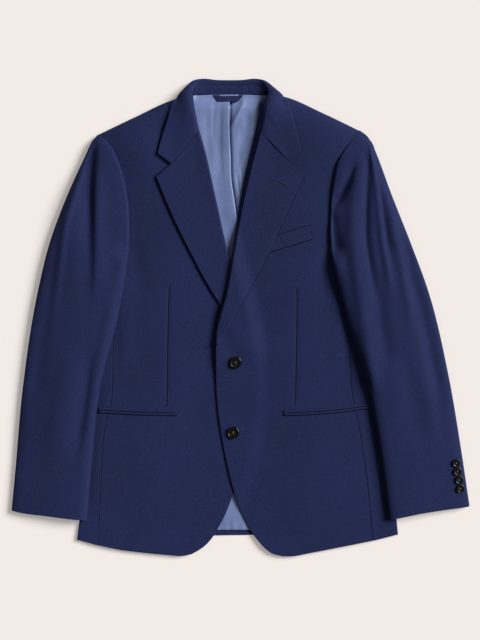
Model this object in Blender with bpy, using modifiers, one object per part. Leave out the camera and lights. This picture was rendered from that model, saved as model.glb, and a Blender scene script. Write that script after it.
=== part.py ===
"""Single breasted blazer, laid flat on its back with the left front fastened over the right.

Every piece of cloth is a wall about a middle surface. Its outline, seen from above, is a patch
between boundary curves, and its height comes from functions of the place on the table, so that
pieces that meet or lie on each other keep a steady gap. Lengths are in millimetres and turned
into metres when a mesh is made. +Y points to the collar and +Z up. Right and left are the wearer's.
"""

import math
from collections import namedtuple

import bpy
import numpy as np
from mathutils import Matrix, Vector

MM = 0.001

# Walls of the cloth, and the gaps between pieces.
WOOL = 1.8
LINING = 1.0
LAPEL = 2.0
TRIM = 0.9
SEAM_GAP = 0.5
LAYER_GAP = 0.5
END_GAP = 0.35  # at the gorge seam, from each side
EDGE_RISE = 0.5  # how far an upper piece ends above the fold where it meets the lower one
EDGE_DROP = 1.3  # how far the lower piece ends below that fold

# Heights of middle surfaces above the table.
FLOOR = WOOL / 2
HEM_LIFT = 0.3  # a front's height over that at its hem, past the back's hem
HEM_FALL = (2.0, 18.0)  # where it comes down to the table past the back's hem, and over what length
FRONT_BASE = 5.2
FOLD_TURN = 9.0  # length of the turned-under strip of a side body
SHOULDER_ROLL = 17.0  # reach of the rounded shoulder edge, from above
COLLAR_LIFT = 2.9  # how far the collar's fall raises the back at the neck
COLLAR_LIFT_Y = (345.0, 270.0)  # y between which that lift fades out
COLLAR_LIFT_X = (115.0, 170.0)  # distances from the middle between which it fades out

# The left front rises over what lies under it: how far, from how far outside its outline, over what length.
Step = namedtuple("Step", "rise before length")
OVER_FRONT = Step(rise=2.8, before=32.0, length=30.0)
OVER_LAPEL = Step(rise=4.3, before=36.0, length=34.0)

# The roll of the lapel: its rise above the front at the fold, by height on the body.
LAPEL_RISE = 3.2
ROLL_GAIN = 2.6  # what the roll adds to that at the neck
ROLL_GAIN_Y = (-40.0, 380.0)  # y between which it grows
ROLL_REACH = 20.0
ROLL_ANGLES = (-70, -30, 10, 50)  # columns of a lapel round its fold
COLLAR_ANGLES = (12, -42, -90)  # points of a collar section round its fold
ROLL_START = 30.0  # length over which the front's edge begins to turn, at the foot of the roll
LAPEL_ROWS = 15
LAPEL_SHARES = (0.0, 0.12, 0.3, 0.5, 0.68, 0.84, 1.0)
ROLL_SEAM = 2.9  # how far behind the fold the front ends

# Outlines as (x, y) points, from the shoulder downwards or from the side to the middle.
Outline = namedtuple(
    "Outline",
    "shoulder armhole armhole_foot side_seam side_fold back_armhole hem front_edge roll "
    "lapel_edge gorge sleeve_inner sleeve_outer cuff",
)

RIGHT = Outline(
    shoulder=((-238, 311), (-179, 339), (-117, 363.5), (-86, 371)),
    armhole=((-238, 311), (-222, 295), (-207, 267), (-196, 235), (-190, 202), (-187, 145)),
    armhole_foot=((-187, 145), (-191, 122), (-203, 105), (-216, 94)),
    side_seam=(
        (-216, 94), (-214, 38), (-216, -72), (-220, -149), (-228, -180), (-237, -293), (-241, -382)
    ),
    side_fold=((-266, 94), (-254, -13), (-248, -89), (-252, -157), (-267, -293), (-277, -377)),
    back_armhole=(
        (-238, 311), (-227, 276), (-220, 234), (-223, 191), (-233, 149), (-245, 115), (-253, 94)
    ),
    hem=((-241, -382), (-204, -394), (-164, -399), (-123, -403), (-96, -404), (-82, -401)),
    front_edge=(
        (15, -47), (20, -89), (20, -140), (7, -234), (-11, -295), (-36, -354), (-55, -382), (-82, -401)
    ),
    roll=((-81, 376), (-75, 336), (-60, 281), (-43, 205), (-17, 88), (0, 21), (15, -47)),
    lapel_edge=((-143, 240), (-119, 183), (-85, 113), (-51, 50), (-32, 20), (11, -40)),
    gorge=((-70, 315), (-117, 260), (-143, 240)),
    sleeve_inner=(
        (-187, 145), (-189, 110), (-194, 74), (-207, 2), (-237, -115), (-250, -242), (-262, -343)
    ),
    sleeve_outer=(
        (-242, 309), (-262, 278), (-296, 207), (-327, 125),
        (-346, 43), (-371, -120), (-383, -263), (-389, -330),
    ),
    cuff=((-389, -331), (-373, -334), (-327, -339), (-286, -343), (-262, -344)),
)
LEFT = Outline(
    shoulder=((199, 317), (141, 344), (80, 367.5), (50, 373)),
    armhole=((199, 317), (188, 300), (174, 281), (162, 258), (157, 234), (153, 207), (151, 145)),
    armhole_foot=((151, 145), (155, 122), (166, 105), (180, 94)),
    side_seam=((180, 94), (181, 38), (185, -55), (192, -144), (199, -175), (210, -242), (225, -378)),
    side_fold=((258, 98), (246, -13), (239, -89), (244, -157), (260, -293), (268, -368)),
    back_armhole=((199, 317), (187, 280), (180, 234), (183, 191), (195, 149), (222, 118), (245, 98)),
    hem=((225, -378), (170, -389), (119, -399), (85, -405), (73, -405)),
    front_edge=(
        (-41, -57), (-39, -140), (-25, -234), (-13, -285), (3, -331), (30, -378), (54, -400), (73, -405)
    ),
    roll=((46, 376), (33, 314), (17, 251), (3, 186), (-12, 101), (-23, 40), (-39, -21), (-41, -57)),
    lapel_edge=((107, 241), (90, 203), (68, 156), (37, 89), (5, 30), (-23, -21), (-35, -45)),
    gorge=((33, 314), (81, 264), (107, 241)),
    sleeve_inner=((151, 145), (153, 110), (170, 38), (195, -47), (212, -98), (234, -208), (253, -344)),
    sleeve_outer=(
        (203, 315), (226, 288), (258, 207), (289, 125), (319, 43), (353, -99), (374, -222), (389, -322)
    ),
    cuff=((389, -323), (340, -329), (306, -334), (272, -341), (253, -345)),
)
NECKLINE = ((-86, 371), (-70, 375), (-19, 377), (36, 376), (50, 373))
BACK_HEM = ((-277, -375), (-153, -372), (-14, -369), (153, -368), (268, -366))

# Soft swells of the fronts over the canvas, the shoulder pads and the hollow of the body.
Swell = namedtuple("Swell", "x y reach_x reach_y rise")
SWELLS = (
    Swell(x=-120, y=190, reach_x=90, reach_y=120, rise=9),
    Swell(x=88, y=190, reach_x=90, reach_y=120, rise=9),
    Swell(x=-180, y=300, reach_x=70, reach_y=62, rise=12),
    Swell(x=145, y=304, reach_x=70, reach_y=62, rise=12),
    Swell(x=-92, y=362, reach_x=44, reach_y=60, rise=10),
    Swell(x=58, y=364, reach_x=44, reach_y=60, rise=10),
    Swell(x=-125, y=-60, reach_x=85, reach_y=130, rise=4),
    Swell(x=100, y=-60, reach_x=85, reach_y=130, rise=4),
    Swell(x=-150, y=-260, reach_x=70, reach_y=90, rise=3),
    Swell(x=130, y=-260, reach_x=70, reach_y=90, rise=3),
)

# The largest folds of each piece, as troughs (negative) or ridges along a line.
Fold = namedtuple("Fold", "path width rise")
RIGHT_SLEEVE_FOLDS = (
    Fold(path=((-247, 268), (-250, 200), (-252, 64), (-262, -30)), width=11, rise=-5),
    Fold(path=((-247, -38), (-252, -89), (-264, -174), (-276, -250)), width=15, rise=-4),
    Fold(path=((-281, 217), (-296, 149), (-306, 81), (-315, -4)), width=10, rise=-3),
)
LEFT_SLEEVE_FOLDS = (
    Fold(path=((196, 262), (178, 217), (170, 191), (166, 123)), width=9, rise=-5),
    Fold(path=((215, 285), (217, 234), (215, 149), (219, 64)), width=9, rise=-4),
    Fold(path=((224, 268), (238, 200), (255, 132), (268, 47)), width=10, rise=-3),
    Fold(path=((255, 200), (280, 115), (302, 30), (326, -55), (338, -140)), width=12, rise=-3),
)

# Heights of a sleeve's upper surface above the table, by y: near its outer fold, its crown's rise
# between the two folds, and its thickness over what it lies on at the inner fold.
SleeveStation = namedtuple("SleeveStation", "y outer crown inner")
SLEEVE_STATIONS = (
    SleeveStation(y=-345, outer=11, crown=2, inner=10),
    SleeveStation(y=-200, outer=13, crown=3, inner=11),
    SleeveStation(y=-60, outer=15, crown=4, inner=12),
    SleeveStation(y=60, outer=17, crown=5, inner=13),
    SleeveStation(y=145, outer=19, crown=6, inner=13),
    SleeveStation(y=230, outer=20, crown=7, inner=13),
    SleeveStation(y=290, outer=19, crown=3, inner=13),
    SleeveStation(y=316, outer=13, crown=0, inner=13),
)
SLEEVE_ROUND = 15.0  # reach of a sleeve's rounded inner fold, from above
SLEEVE_WIDTH = 140.0  # for spacing the columns at its folds
SLEEVE_SEAM = 0.8  # how far inside the armhole's seam the top sleeve ends
ARMPIT = (140.0, 104.0)  # y between which the under sleeve rises from the table to the body
INNER_SEAM = (122.0, 84.0)  # y between which the sleeve's inner fold rises to its full height
# y of the outer fold beside each y of the inner side, for the rows of the under sleeve
ROW_INNER_Y = (330, 98, 90, 40, -345)
ROW_OUTER_Y = (322, 118, 96, 46, -331)
BODY_EDGE_RISE = 48.0  # how far out a sleeve begins to rise over the side of the body
BODY_EDGE_TOP = 14.0  # how far out it has reached its full height
SLEEVE_LIFT = WOOL + LAYER_GAP + 0.3  # a sleeve's middle surface over that of the cloth under it
OVER_FRONT_FROM = 6.0  # how far above the armhole's foot a sleeve begins to rise over the front
OVER_FRONT_LENGTH = 8.0
CROWN_WIDTH = 90.0  # width from which a sleeve has its full crown
CREASE_MARGIN = 25.0  # the creases fade out over this length at both folds

# The centre pleat of the lining and its second fold.
PLEAT = ((-19, 366), (-19, 310), (-17, 268), (-16, 234), (-11, 200), (-6, 166), (0, 120))
PLEAT_BELOW = ((0, 60), (-8, -100), (-16, -359))  # its line goes on, flat, to the lining's hem
PLEAT_RISE = 2.2
PLEAT_REACH = 26.0
PLEAT_EDGE = 1.2
LINING_MARGIN = 30.0  # how far inside the side fold the lining ends
LINING_HEM_Y = -360.0
LINING_COLUMNS_BEFORE = (0.0, 0.3, 0.6, 0.8, 0.9, 0.96, 1.0)
LINING_COLUMNS_AFTER = (0.0, 0.15, 0.35, 0.65, 1.0)

# The collar's sections. At its two ends they lie on the fronts, as places of the free edge, the
# crest and the roll line. Past the shoulders they are points of the middle surface, from the free
# edge under the back round the fold to the stand's seam, for the right half.
CollarEnd = namedtuple("CollarEnd", "edge crest roll")
RIGHT_END = (
    CollarEnd(edge=(-142, 279), crest=(-117, 260), roll=(-70, 315)),
    CollarEnd(edge=(-135, 305), crest=(-110, 296), roll=(-74.5, 336)),
    CollarEnd(edge=(-126.5, 336), crest=(-104, 332), roll=(-78.5, 357)),
)
LEFT_END = (
    CollarEnd(edge=(104, 280), crest=(81, 264), roll=(33, 314)),
    CollarEnd(edge=(97, 307), crest=(73, 298), roll=(37.5, 336)),
    CollarEnd(edge=(88, 339), crest=(66, 334), roll=(41.5, 357)),
)
CollarSection = namedtuple("CollarSection", "edge crest turn_in fold turn_out lip")
COLLAR_CENTRE_X = -18.5
COLLAR_BACK = (
    CollarSection(
        edge=(-119.5, 366.8, 11.5), crest=(-104, 364, 21.4),
        turn_in=(-84.5, 374.5, 21), fold=(-80.3, 375.5, 18),
        turn_out=(-81.5, 376, 15.5), lip=(-83, 376.5, 14),
    ),
    CollarSection(
        edge=(-116, 370, 5), crest=(-110, 374.5, 14),
        turn_in=(-88, 382, 20.5), fold=(-81, 382.5, 18),
        turn_out=(-80.8, 381, 15.5), lip=(-81, 380, 14),
    ),
    CollarSection(
        edge=(-103, 362, 1.3), crest=(-103, 383.5, 8),
        turn_in=(-88, 389, 17.5), fold=(-81, 389, 16),
        turn_out=(-79.5, 387, 14), lip=(-79, 385, 12.8),
    ),
    CollarSection(
        edge=(-82, 357.5, 1.2), crest=(-88, 393.5, 4.2),
        turn_in=(-83, 399.3, 9), fold=(-77.5, 399, 11),
        turn_out=(-75.3, 395.5, 10), lip=(-74.5, 391.8, 9.2),
    ),
    CollarSection(
        edge=(-63, 355, 1.2), crest=(-64, 388, 1.2),
        turn_in=(-63.5, 402.4, 1.6), fold=(-63.3, 404.3, 3.9),
        turn_out=(-63, 402, 6.2), lip=(-62.5, 393.5, 6.2),
    ),
    CollarSection(
        edge=(-41, 353.5, 1.2), crest=(-41, 386, 1.2),
        turn_in=(-41, 400.6, 1.2), fold=(-41, 402.4, 3.1),
        turn_out=(-41, 400.6, 5.2), lip=(-41, 393.5, 5.2),
    ),
    CollarSection(
        edge=(-18.5, 353, 1.2), crest=(-18.5, 386, 1.2),
        turn_in=(-18.5, 400.2, 1.2), fold=(-18.5, 402, 2.9),
        turn_out=(-18.5, 400.2, 4.7), lip=(-18.5, 393.5, 4.7),
    ),
)
LAST_SECTION_ON_FRONT = 3.7
COLLAR_OFFSET = WOOL / 2 + LAYER_GAP + LAPEL / 2 + 0.5  # over a front, with slack for its bend
COLLAR_OVERLAP = 4.0  # how far outside a front the collar still keeps clear of it
COLLAR_ROWS = (1, 2, 6, 4, 3, 2, 2, 1, 1)  # rows from each section to the next, on each half
STAND_TOP = (
    (-78, 384, 11.6), (-73.6, 390.6, 8.8), (-62.5, 393, 6.2), (-41, 393, 5.2), (-18.5, 393, 4.7)
)
STAND_FOOT = (
    (-79.5, 378.8, 9.5), (-74, 378.8, 7.6), (-62.5, 378.8, 6.2), (-41, 378.8, 5.2), (-18.5, 378.8, 4.7)
)

# Small pieces.
POCKET_JET = 4.2
POCKET_SLIT = 0.6
RIGHT_POCKET = ((-239, -157), (-187, -160), (-107, -162))
LEFT_POCKET = ((74, -162), (150, -158), (218, -150))
TRIM_LIFT = WOOL / 2 + LAYER_GAP + TRIM / 2  # trim's middle surface over that of the front under it
TAB_LIFT = LINING / 2 + LAYER_GAP + 0.3 + TRIM / 2  # the tab's over the lining's, with slack for the pleat
LOOP_LIFT = TAB_LIFT + TRIM + LAYER_GAP
WELT = ((64, 140), (119, 157), (122, 132), (50, 110))
NECK_TAB = ((-46, 376.5), (5, 376.5), (-4, 366), (-38, 366))
HANGER_LOOP = ((-35, 376), (-4, 376.4))
HANGER_LOOP_WIDTH = 3.0
FRONT_BUTTONS = ((-8, -76), (-12, -195))
CUFF_BUTTONS = ((365, -246), (367, -260.6), (370, -275), (372, -289.6))
Button = namedtuple("Button", "diameter thickness well rim hole hole_reach")
FRONT_BUTTON = Button(diameter=20.5, thickness=3.6, well=2.2, rim=2.6, hole=2.0, hole_reach=2.2)
BUTTON_GAP = 0.3
BUTTON_FEELERS = 12
CUFF_BUTTON = Button(diameter=14.2, thickness=3.0, well=1.9, rim=1.9, hole=1.5, hole_reach=1.6)

# How many cells each patch has.
ARMHOLE_ROWS = 6
FOOT_ROWS = 2
SEAM_SHARES = tuple(i / 12 * 0.93 for i in range(13)) + (0.965, 1.0)
SLEEVE_ROWS = 16
NEAR_SHOULDER = (0.0, 0.006, 0.022, 0.05)  # shares of an armhole where the shoulder rounds over
FRONT_COLUMNS = (0.0, 0.1, 0.22, 0.34, 0.46, 0.57, 0.67, 0.76, 0.84, 0.91, 0.96, 1.0)
ROUND_SHARES = (0.0, 0.08, 0.26, 0.56, 1.0)  # where a rounded fold of a sleeve has its columns
SLEEVE_MIDDLE = 8
NECK_SHARES = (0.0, 0.06, 0.13, 0.3, 0.5, 0.7, 0.87, 0.94, 1.0)
LINING_SHARES = (0.0, 0.008, 0.016, 0.028, 0.045, 0.07, 0.12, 0.2, 0.3, 0.4, 0.5, 0.6, 0.7, 0.8, 0.9, 1.0)
UNDER_ROUND_SHARES = (0.0, 0.2, 1.0)
UNDER_MIDDLE = 4
UNDER_BACK_REACH = 30.0  # from the back's armhole, how far the under sleeve keeps the back's height
UNDER_ARMHOLE_END = 0.3  # share of the last stretch of the back's armhole that the sleeve follows
UNDER_ACROSS_SHARES = (0.16, 1.0)
UNDER_START = 92.0  # y below which the under sleeve has the sleeve's inner fold


def ramp(value):
    """Smooth step from 0 at value 0 to 1 at value 1."""
    t = np.clip(value, 0.0, 1.0)
    return t * t * (3.0 - 2.0 * t)


def falling(value, span):
    """Smooth step from 0 at the span's upper end to 1 at its lower end."""
    return ramp((span[0] - value) / (span[0] - span[1]))


def quarter(distance, reach):
    """Height of a quarter ellipse, from 0 at its edge to 1 at the given reach."""
    left = 1.0 - np.clip(distance / reach, 0.0, 1.0)
    return np.sqrt(1.0 - left * left)


def straight(points, shares):
    """Polyline through the points, read at shares of its length, with its corners kept."""
    points = np.asarray(points, float)
    steps = np.linalg.norm(np.diff(points, axis=0), axis=1)
    lengths = np.concatenate([[0.0], np.cumsum(steps)])
    wanted = np.asarray(shares) * lengths[-1]
    axes = [np.interp(wanted, lengths, values) for values in points.T]
    return np.stack(axes, axis=1)


def curve(points, shares):
    """Smooth curve through the points, read at shares of its length."""
    points = np.asarray(points, float)
    steps = np.linalg.norm(np.diff(points, axis=0), axis=1)
    knots = np.concatenate([[0.0], np.cumsum(steps)])
    if len(points) > 2:
        tangents = np.gradient(points, knots, axis=0)
    else:
        tangents = np.repeat((points[1:] - points[:1]) / knots[-1], 2, axis=0)
    fine = np.linspace(0.0, knots[-1], 40 * len(points))
    k = np.clip(np.searchsorted(knots, fine) - 1, 0, len(points) - 2)
    span = (knots[k + 1] - knots[k])[:, None]
    t = ((fine - knots[k]) / span[:, 0])[:, None]
    line = (
        (2 * t**3 - 3 * t**2 + 1) * points[k]
        + (t**3 - 2 * t**2 + t) * span * tangents[k]
        + (3 * t**2 - 2 * t**3) * points[k + 1]
        + (t**3 - t**2) * span * tangents[k + 1]
    )
    return straight(line, shares)


def patch(top, bottom, first, last, u, v):
    """Patch blended between four boundary curves: rows run from top to bottom along v, and
    columns from the first side to the last along u."""
    u = np.asarray(u)[None, :, None]
    v = np.asarray(v)[:, None, None]
    along = (1 - v) * top[None] + v * bottom[None]
    across = (1 - u) * first[:, None] + u * last[:, None]
    corners = (1 - v) * ((1 - u) * top[0] + u * top[-1]) + v * ((1 - u) * bottom[0] + u * bottom[-1])
    return along + across - corners


def inset(grid, gap=SEAM_GAP / 2):
    """The grid with its four sides moved inwards by a gap."""
    grid = grid.copy()
    sides = (grid[0], grid[-1], grid[:, 0], grid[:, -1])
    neighbours = (grid[1], grid[-2], grid[:, 1], grid[:, -2])
    for edge, near in zip(sides, neighbours):
        step = near - edge
        edge += step * (gap / np.maximum(np.linalg.norm(step, axis=-1, keepdims=True), gap))
    return grid


def end_inset(grid):
    """The grid with its first row moved inwards from a seam."""
    grid = grid.copy()
    step = grid[1] - grid[0]
    grid[0] += step * (END_GAP / np.linalg.norm(step, axis=-1, keepdims=True))
    return grid


def distance_to(places, path):
    """Distance of each (x, y) place to a polyline."""
    places = np.asarray(places, float)[..., :2]
    path = np.asarray(path, float)
    nearest = np.full(places.shape[:-1], np.inf)
    for start, end in zip(path[:-1], path[1:]):
        along = end - start
        t = np.clip(((places - start) @ along) / max(along @ along, 1e-9), 0.0, 1.0)
        gap = np.linalg.norm(places - start - t[..., None] * along, axis=-1)
        nearest = np.minimum(nearest, gap)
    return nearest


def depth_inside(places, outline):
    """Distance of each place to a closed outline, positive inside it."""
    places = np.asarray(places, float)[..., :2]
    x, y = places[..., 0], places[..., 1]
    ring = np.vstack([outline, outline[:1]])
    inside = np.zeros(x.shape, bool)
    for (x0, y0), (x1, y1) in zip(ring[:-1], ring[1:]):
        if y0 != y1:
            crosses = ((y0 > y) != (y1 > y)) & (x < (x1 - x0) * (y - y0) / (y1 - y0) + x0)
            inside ^= crosses
    return np.where(inside, 1.0, -1.0) * distance_to(places, ring)


def read(path, count=24):
    """Plain points of a smooth curve, for measuring distances to it."""
    return curve(path, np.linspace(0.0, 1.0, count))


def swells(places, table):
    """Sum of soft round swells at each place."""
    x, y = places[..., 0], places[..., 1]
    total = np.zeros(x.shape)
    for s in table:
        total += s.rise * np.exp(-(((x - s.x) / s.reach_x) ** 2) - ((y - s.y) / s.reach_y) ** 2)
    return total


def folds(places, table):
    """Sum of soft troughs and ridges along lines at each place."""
    total = np.zeros(places.shape[:-1])
    for fold in table:
        total += fold.rise * np.exp(-((distance_to(places, read(fold.path)) / fold.width) ** 2))
    return total


def steepness(height_of, places):
    """Length of the normal of a height function for a unit of height, from its slopes."""
    step = 1.0
    slopes = []
    for shift in ([step, 0, 0], [0, step, 0]):
        shift = np.array(shift)[: places.shape[-1]]
        slopes.append((height_of(places + shift) - height_of(places - shift)) / (2 * step))
    return np.sqrt(1 + slopes[0] ** 2 + slopes[1] ** 2)


def collar_lift(places):
    """How far the collar's fall raises the cloth that lies on it at the back of the neck."""
    x, y = places[..., 0], places[..., 1]
    from_middle = np.abs(x - COLLAR_CENTRE_X)
    return COLLAR_LIFT * (1 - falling(y, COLLAR_LIFT_Y)) * falling(from_middle, COLLAR_LIFT_X[::-1])


def front_height(places):
    """Middle surface of a front that lies straight on the back, before its edges are rounded."""
    x, y = places[..., 0], places[..., 1]
    height = FRONT_BASE + swells(places, SWELLS)
    hem = read(BACK_HEM)
    past_hem = np.interp(x, hem[:, 0], hem[:, 1]) - y
    return height + (FLOOR + HEM_LIFT - height) * ramp((past_hem - HEM_FALL[0]) / HEM_FALL[1])


def shoulder_rounded(places, height, upper):
    """Height of the upper or the lower cloth where the shoulder's edge rounds over."""
    low = FLOOR + collar_lift(places)
    middle = (height + low) / 2
    gap = np.minimum(distance_to(places, read(RIGHT.shoulder)), distance_to(places, read(LEFT.shoulder)))
    share = quarter(gap, SHOULDER_ROLL)
    if upper:
        return middle + EDGE_RISE * (1 - share) + (height - middle) * share
    return low + (middle - EDGE_DROP - low) * (1 - share**2)


def roll_gain(y):
    """What the roll adds to the lapel's rise, by height on the body."""
    return ROLL_GAIN * ramp((y - ROLL_GAIN_Y[0]) / (ROLL_GAIN_Y[1] - ROLL_GAIN_Y[0]))


def roll_rise(places, roll):
    """Rise of a lapel over its front: most at the roll line and least at its own edge."""
    away = distance_to(places, read(roll))
    return LAPEL_RISE + roll_gain(places[..., 1]) * np.exp(-away / ROLL_REACH)


def fold_radius(y):
    """Radius of the lapel's fold at the roll line."""
    return (LAPEL_RISE + roll_gain(y)) / 2


def front_outline(side):
    """Closed outline of a front, from the shoulder round to the roll line."""
    downwards = [read(side.shoulder[::-1]), read(side.armhole), read(side.side_seam), read(side.hem)]
    return np.vstack(downwards + [read(side.front_edge)[::-1], read(side.roll)[::-1]])


def lapel_outline(side):
    """Closed outline of a lapel, from its tip round to the gorge."""
    return np.vstack([read(side.lapel_edge), read(side.roll)[::-1], side.gorge])


def body_height(places, side):
    """Middle surface of a front. The left one rises over the right front and the right lapel."""
    height = front_height(places)
    if side is RIGHT:
        return height
    for step, outline in ((OVER_FRONT, front_outline(RIGHT)), (OVER_LAPEL, lapel_outline(RIGHT))):
        height = height + step.rise * ramp((depth_inside(places, outline) + step.before) / step.length)
    return height


def back_height(places):
    """Middle surface of the back, which curls up at the shoulders."""
    return shoulder_rounded(places, front_height(places), upper=False)


def upper_height(places, side):
    """Middle surface of a front, with its shoulder edge rounded over."""
    return shoulder_rounded(places, body_height(places, side), upper=True)


def lining_height(places):
    """Middle surface of the lining, with the pleat's left layer lying over its right one."""
    x, y = places[..., 0], places[..., 1]
    line = read(PLEAT)[::-1]
    before = np.interp(y, line[:, 1], line[:, 0]) - x
    fade = ramp((y - 120) / 60) * ramp((364 - y) / 12)
    step = np.where(before >= -0.1, ramp(1 - before / PLEAT_REACH), 0.0)
    offset = (WOOL / 2 + LAYER_GAP + LINING / 2) * steepness(back_height, places)
    return back_height(places) + offset + PLEAT_RISE * step * fade


def make_material(name, colour, roughness):
    material = bpy.data.materials.new(name)
    material.use_nodes = True
    shader = material.node_tree.nodes["Principled BSDF"]
    shader.inputs["Base Color"].default_value = (*colour, 1.0)
    shader.inputs["Roughness"].default_value = roughness
    return material


def wall(name, grid, thickness, material, collection):
    """Object of a cloth piece: its middle surface with Solidify."""
    rows, columns = grid.shape[:2]
    index = np.arange(rows * columns).reshape(rows, columns)
    corners = (index[1:, :-1], index[1:, 1:], index[:-1, 1:], index[:-1, :-1])
    faces = np.stack(corners, axis=-1).reshape(-1, 4)
    mesh = bpy.data.meshes.new(name)
    mesh.from_pydata((grid.reshape(-1, 3) * MM).tolist(), [], faces.tolist())
    mesh.shade_smooth()
    mesh.materials.append(material)
    obj = bpy.data.objects.new(name, mesh)
    collection.objects.link(obj)
    solidify = obj.modifiers.new("Wall", "SOLIDIFY")
    solidify.thickness = thickness * MM
    solidify.offset = 0.0
    return obj


def raised(plan, height):
    """Plan points with their heights."""
    return np.concatenate([plan, height[..., None]], axis=-1)


def armhole_shares():
    """Rows of the armhole, close together where the shoulder rounds over."""
    return np.concatenate([NEAR_SHOULDER, np.linspace(0.1, 1.0, ARMHOLE_ROWS)])


def stacked(*parts):
    """Boundary curves joined end to end, each given as its points, with shared ends kept once."""
    return np.vstack([parts[0]] + [part[1:] for part in parts[1:]])


def row_shares(points):
    """Share of a boundary's length at each of its points."""
    lengths = np.concatenate([[0.0], np.cumsum(np.linalg.norm(np.diff(points, axis=0), axis=1))])
    return lengths / lengths[-1]


def front(side, name, material, collection):
    """A front: shoulder, armhole, side seam, hem, front edge and roll line."""
    foot = np.linspace(0.0, 1.0, FOOT_ROWS + 1)
    seam = SEAM_SHARES
    first = stacked(
        curve(side.armhole, armhole_shares()), curve(side.armhole_foot, foot), curve(side.side_seam, seam)
    )
    v = row_shares(first)
    inner = stacked(read(side.roll, 60), read(side.front_edge, 60))
    last = straight(inner, v)
    toward = first - last
    toward /= np.linalg.norm(toward, axis=1, keepdims=True)
    break_y = side.front_edge[0][1]
    turned = ramp((last[:, 1] - break_y + ROLL_START) / ROLL_START)
    last = last + toward * (turned * (fold_radius(last[:, 1]) + ROLL_SEAM))[:, None]
    last[0] = side.shoulder[-1]
    u = FRONT_COLUMNS
    plan = inset(patch(curve(side.shoulder, u), curve(side.hem, u), first, last, u, v))
    return wall(name, raised(plan, upper_height(plan, side)), WOOL, material, collection)


def side_body(side, name, material, collection):
    """A side body: flat from its seam to the side fold, turned under there on a half circle."""
    seam = SEAM_SHARES
    inner = curve(side.side_seam, seam)
    outer = curve(side.side_fold, seam)
    inwards = np.sign(inner[:, :1] - outer[:, :1]) * np.array([[1.0, 0.0]])
    inner = inner - inwards * SEAM_GAP / 2
    radius = (front_height(outer) - FLOOR) / 2
    centre = outer + inwards * (radius + WOOL / 2)[:, None]
    columns = []
    for share in (0.0, 0.35, 0.7, 1.0):
        plan = inner + (centre - inner) * share
        columns.append(raised(plan, front_height(plan)))
    for angle in (45, 0, -45, -90):
        a = math.radians(angle)
        plan = centre - inwards * (radius * math.cos(a))[:, None]
        columns.append(raised(plan, FLOOR + radius * (1 + math.sin(a))))
    plan = centre + inwards * FOLD_TURN
    columns.append(raised(plan, np.full(len(plan), FLOOR)))
    return wall(name, np.stack(columns, axis=1), WOOL, material, collection)


def back_side(side):
    """Side edge of the back, beside the turned-under strip of the side body."""
    outer = curve(side.side_fold, SEAM_SHARES[::2])
    inwards = -np.sign(outer[:, :1] - COLLAR_CENTRE_X) * np.array([[1.0, 0.0]])
    radius = (front_height(outer) - FLOOR) / 2
    return outer + inwards * (radius + WOOL / 2 + FOLD_TURN + 4 * SEAM_GAP)[:, None]


def back(material, collection):
    """The back, flat on the table, curling up at the shoulders to meet the fronts."""
    sides = []
    for side in (RIGHT, LEFT):
        armhole = back_armhole_points(side)
        sides.append(np.vstack([armhole, back_side(side)[1:]]))
    v = row_shares(sides[0])
    top = stacked(
        curve(RIGHT.shoulder, np.linspace(0, 1, 6)),
        curve(NECKLINE, NECK_SHARES),
        curve(LEFT.shoulder[::-1], np.linspace(0, 1, 6)),
    )
    u = row_shares(top)
    hem = curve(BACK_HEM, u)
    hem[:, 0] = np.interp(hem[:, 0], (hem[0, 0], hem[-1, 0]), (sides[0][-1, 0], sides[1][-1, 0]))
    sides[0][-1], sides[1][-1] = hem[0], hem[-1]
    plan = inset(patch(top, hem, sides[0], sides[1], u, v))
    return wall("back", raised(plan, back_height(plan)), WOOL, material, collection)


def back_lining(material, collection):
    """The lining over the back, with its centre pleat."""
    v = LINING_SHARES
    sides = []
    for side, first, reach in ((RIGHT, (-78, 375.5), LINING_MARGIN), (LEFT, (43, 375.5), -LINING_MARGIN)):
        points = [first, (first[0] - 1.6 * reach, 330), (side.armhole[4][0] + reach, 200)]
        points += [(x + reach, y) for x, y in side.side_fold[1:-1]]
        points.append((side.side_fold[-1][0] + reach, LINING_HEM_Y))
        sides.append(curve(points, v))
    line = read(PLEAT + PLEAT_BELOW, 120)[::-1]
    pleat = np.stack([np.interp(sides[0][:, 1], line[:, 1], line[:, 0]), sides[0][:, 1]], axis=1)
    columns = [sides[0] + (pleat - sides[0]) * share for share in LINING_COLUMNS_BEFORE]
    after = pleat + [PLEAT_EDGE, 0]
    columns += [after + (sides[1] - after) * share for share in LINING_COLUMNS_AFTER]
    plan = np.stack(columns, axis=1)
    return wall("back_lining", raised(plan, lining_height(plan)), LINING, material, collection)


def back_armhole_points(side):
    """Points of the back's armhole, which the under sleeve shares."""
    return curve(side.back_armhole, NEAR_SHOULDER + (0.3, 0.55, 0.8, 1.0))


def sleeve_rows(side):
    """Boundary curves of a sleeve at shared rows: outer fold, inner side, and their shares."""
    free = np.linspace(0.0, 1.0, SLEEVE_ROWS + 1)
    inner = stacked(curve(side.armhole, armhole_shares()), curve(side.sleeve_inner, free))
    v = row_shares(inner)
    return inner, curve(side.sleeve_outer, v), v


def sleeve_columns(round_shares, middle_count):
    """Columns across a sleeve: close together at its two rounded folds."""
    rounded = np.asarray(round_shares) * SLEEVE_ROUND / SLEEVE_WIDTH
    middle = np.linspace(rounded[-1], 1 - rounded[-1], middle_count + 2)[1:-1]
    return np.concatenate([rounded, middle, 1 - rounded[::-1]])


def station(y, column):
    """A column of the sleeve's table, read smoothly at a height on the body."""
    ys = np.array([s.y for s in SLEEVE_STATIONS], float)
    values = np.array([getattr(s, column) for s in SLEEVE_STATIONS], float)
    return np.interp(y, ys, values)


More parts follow.
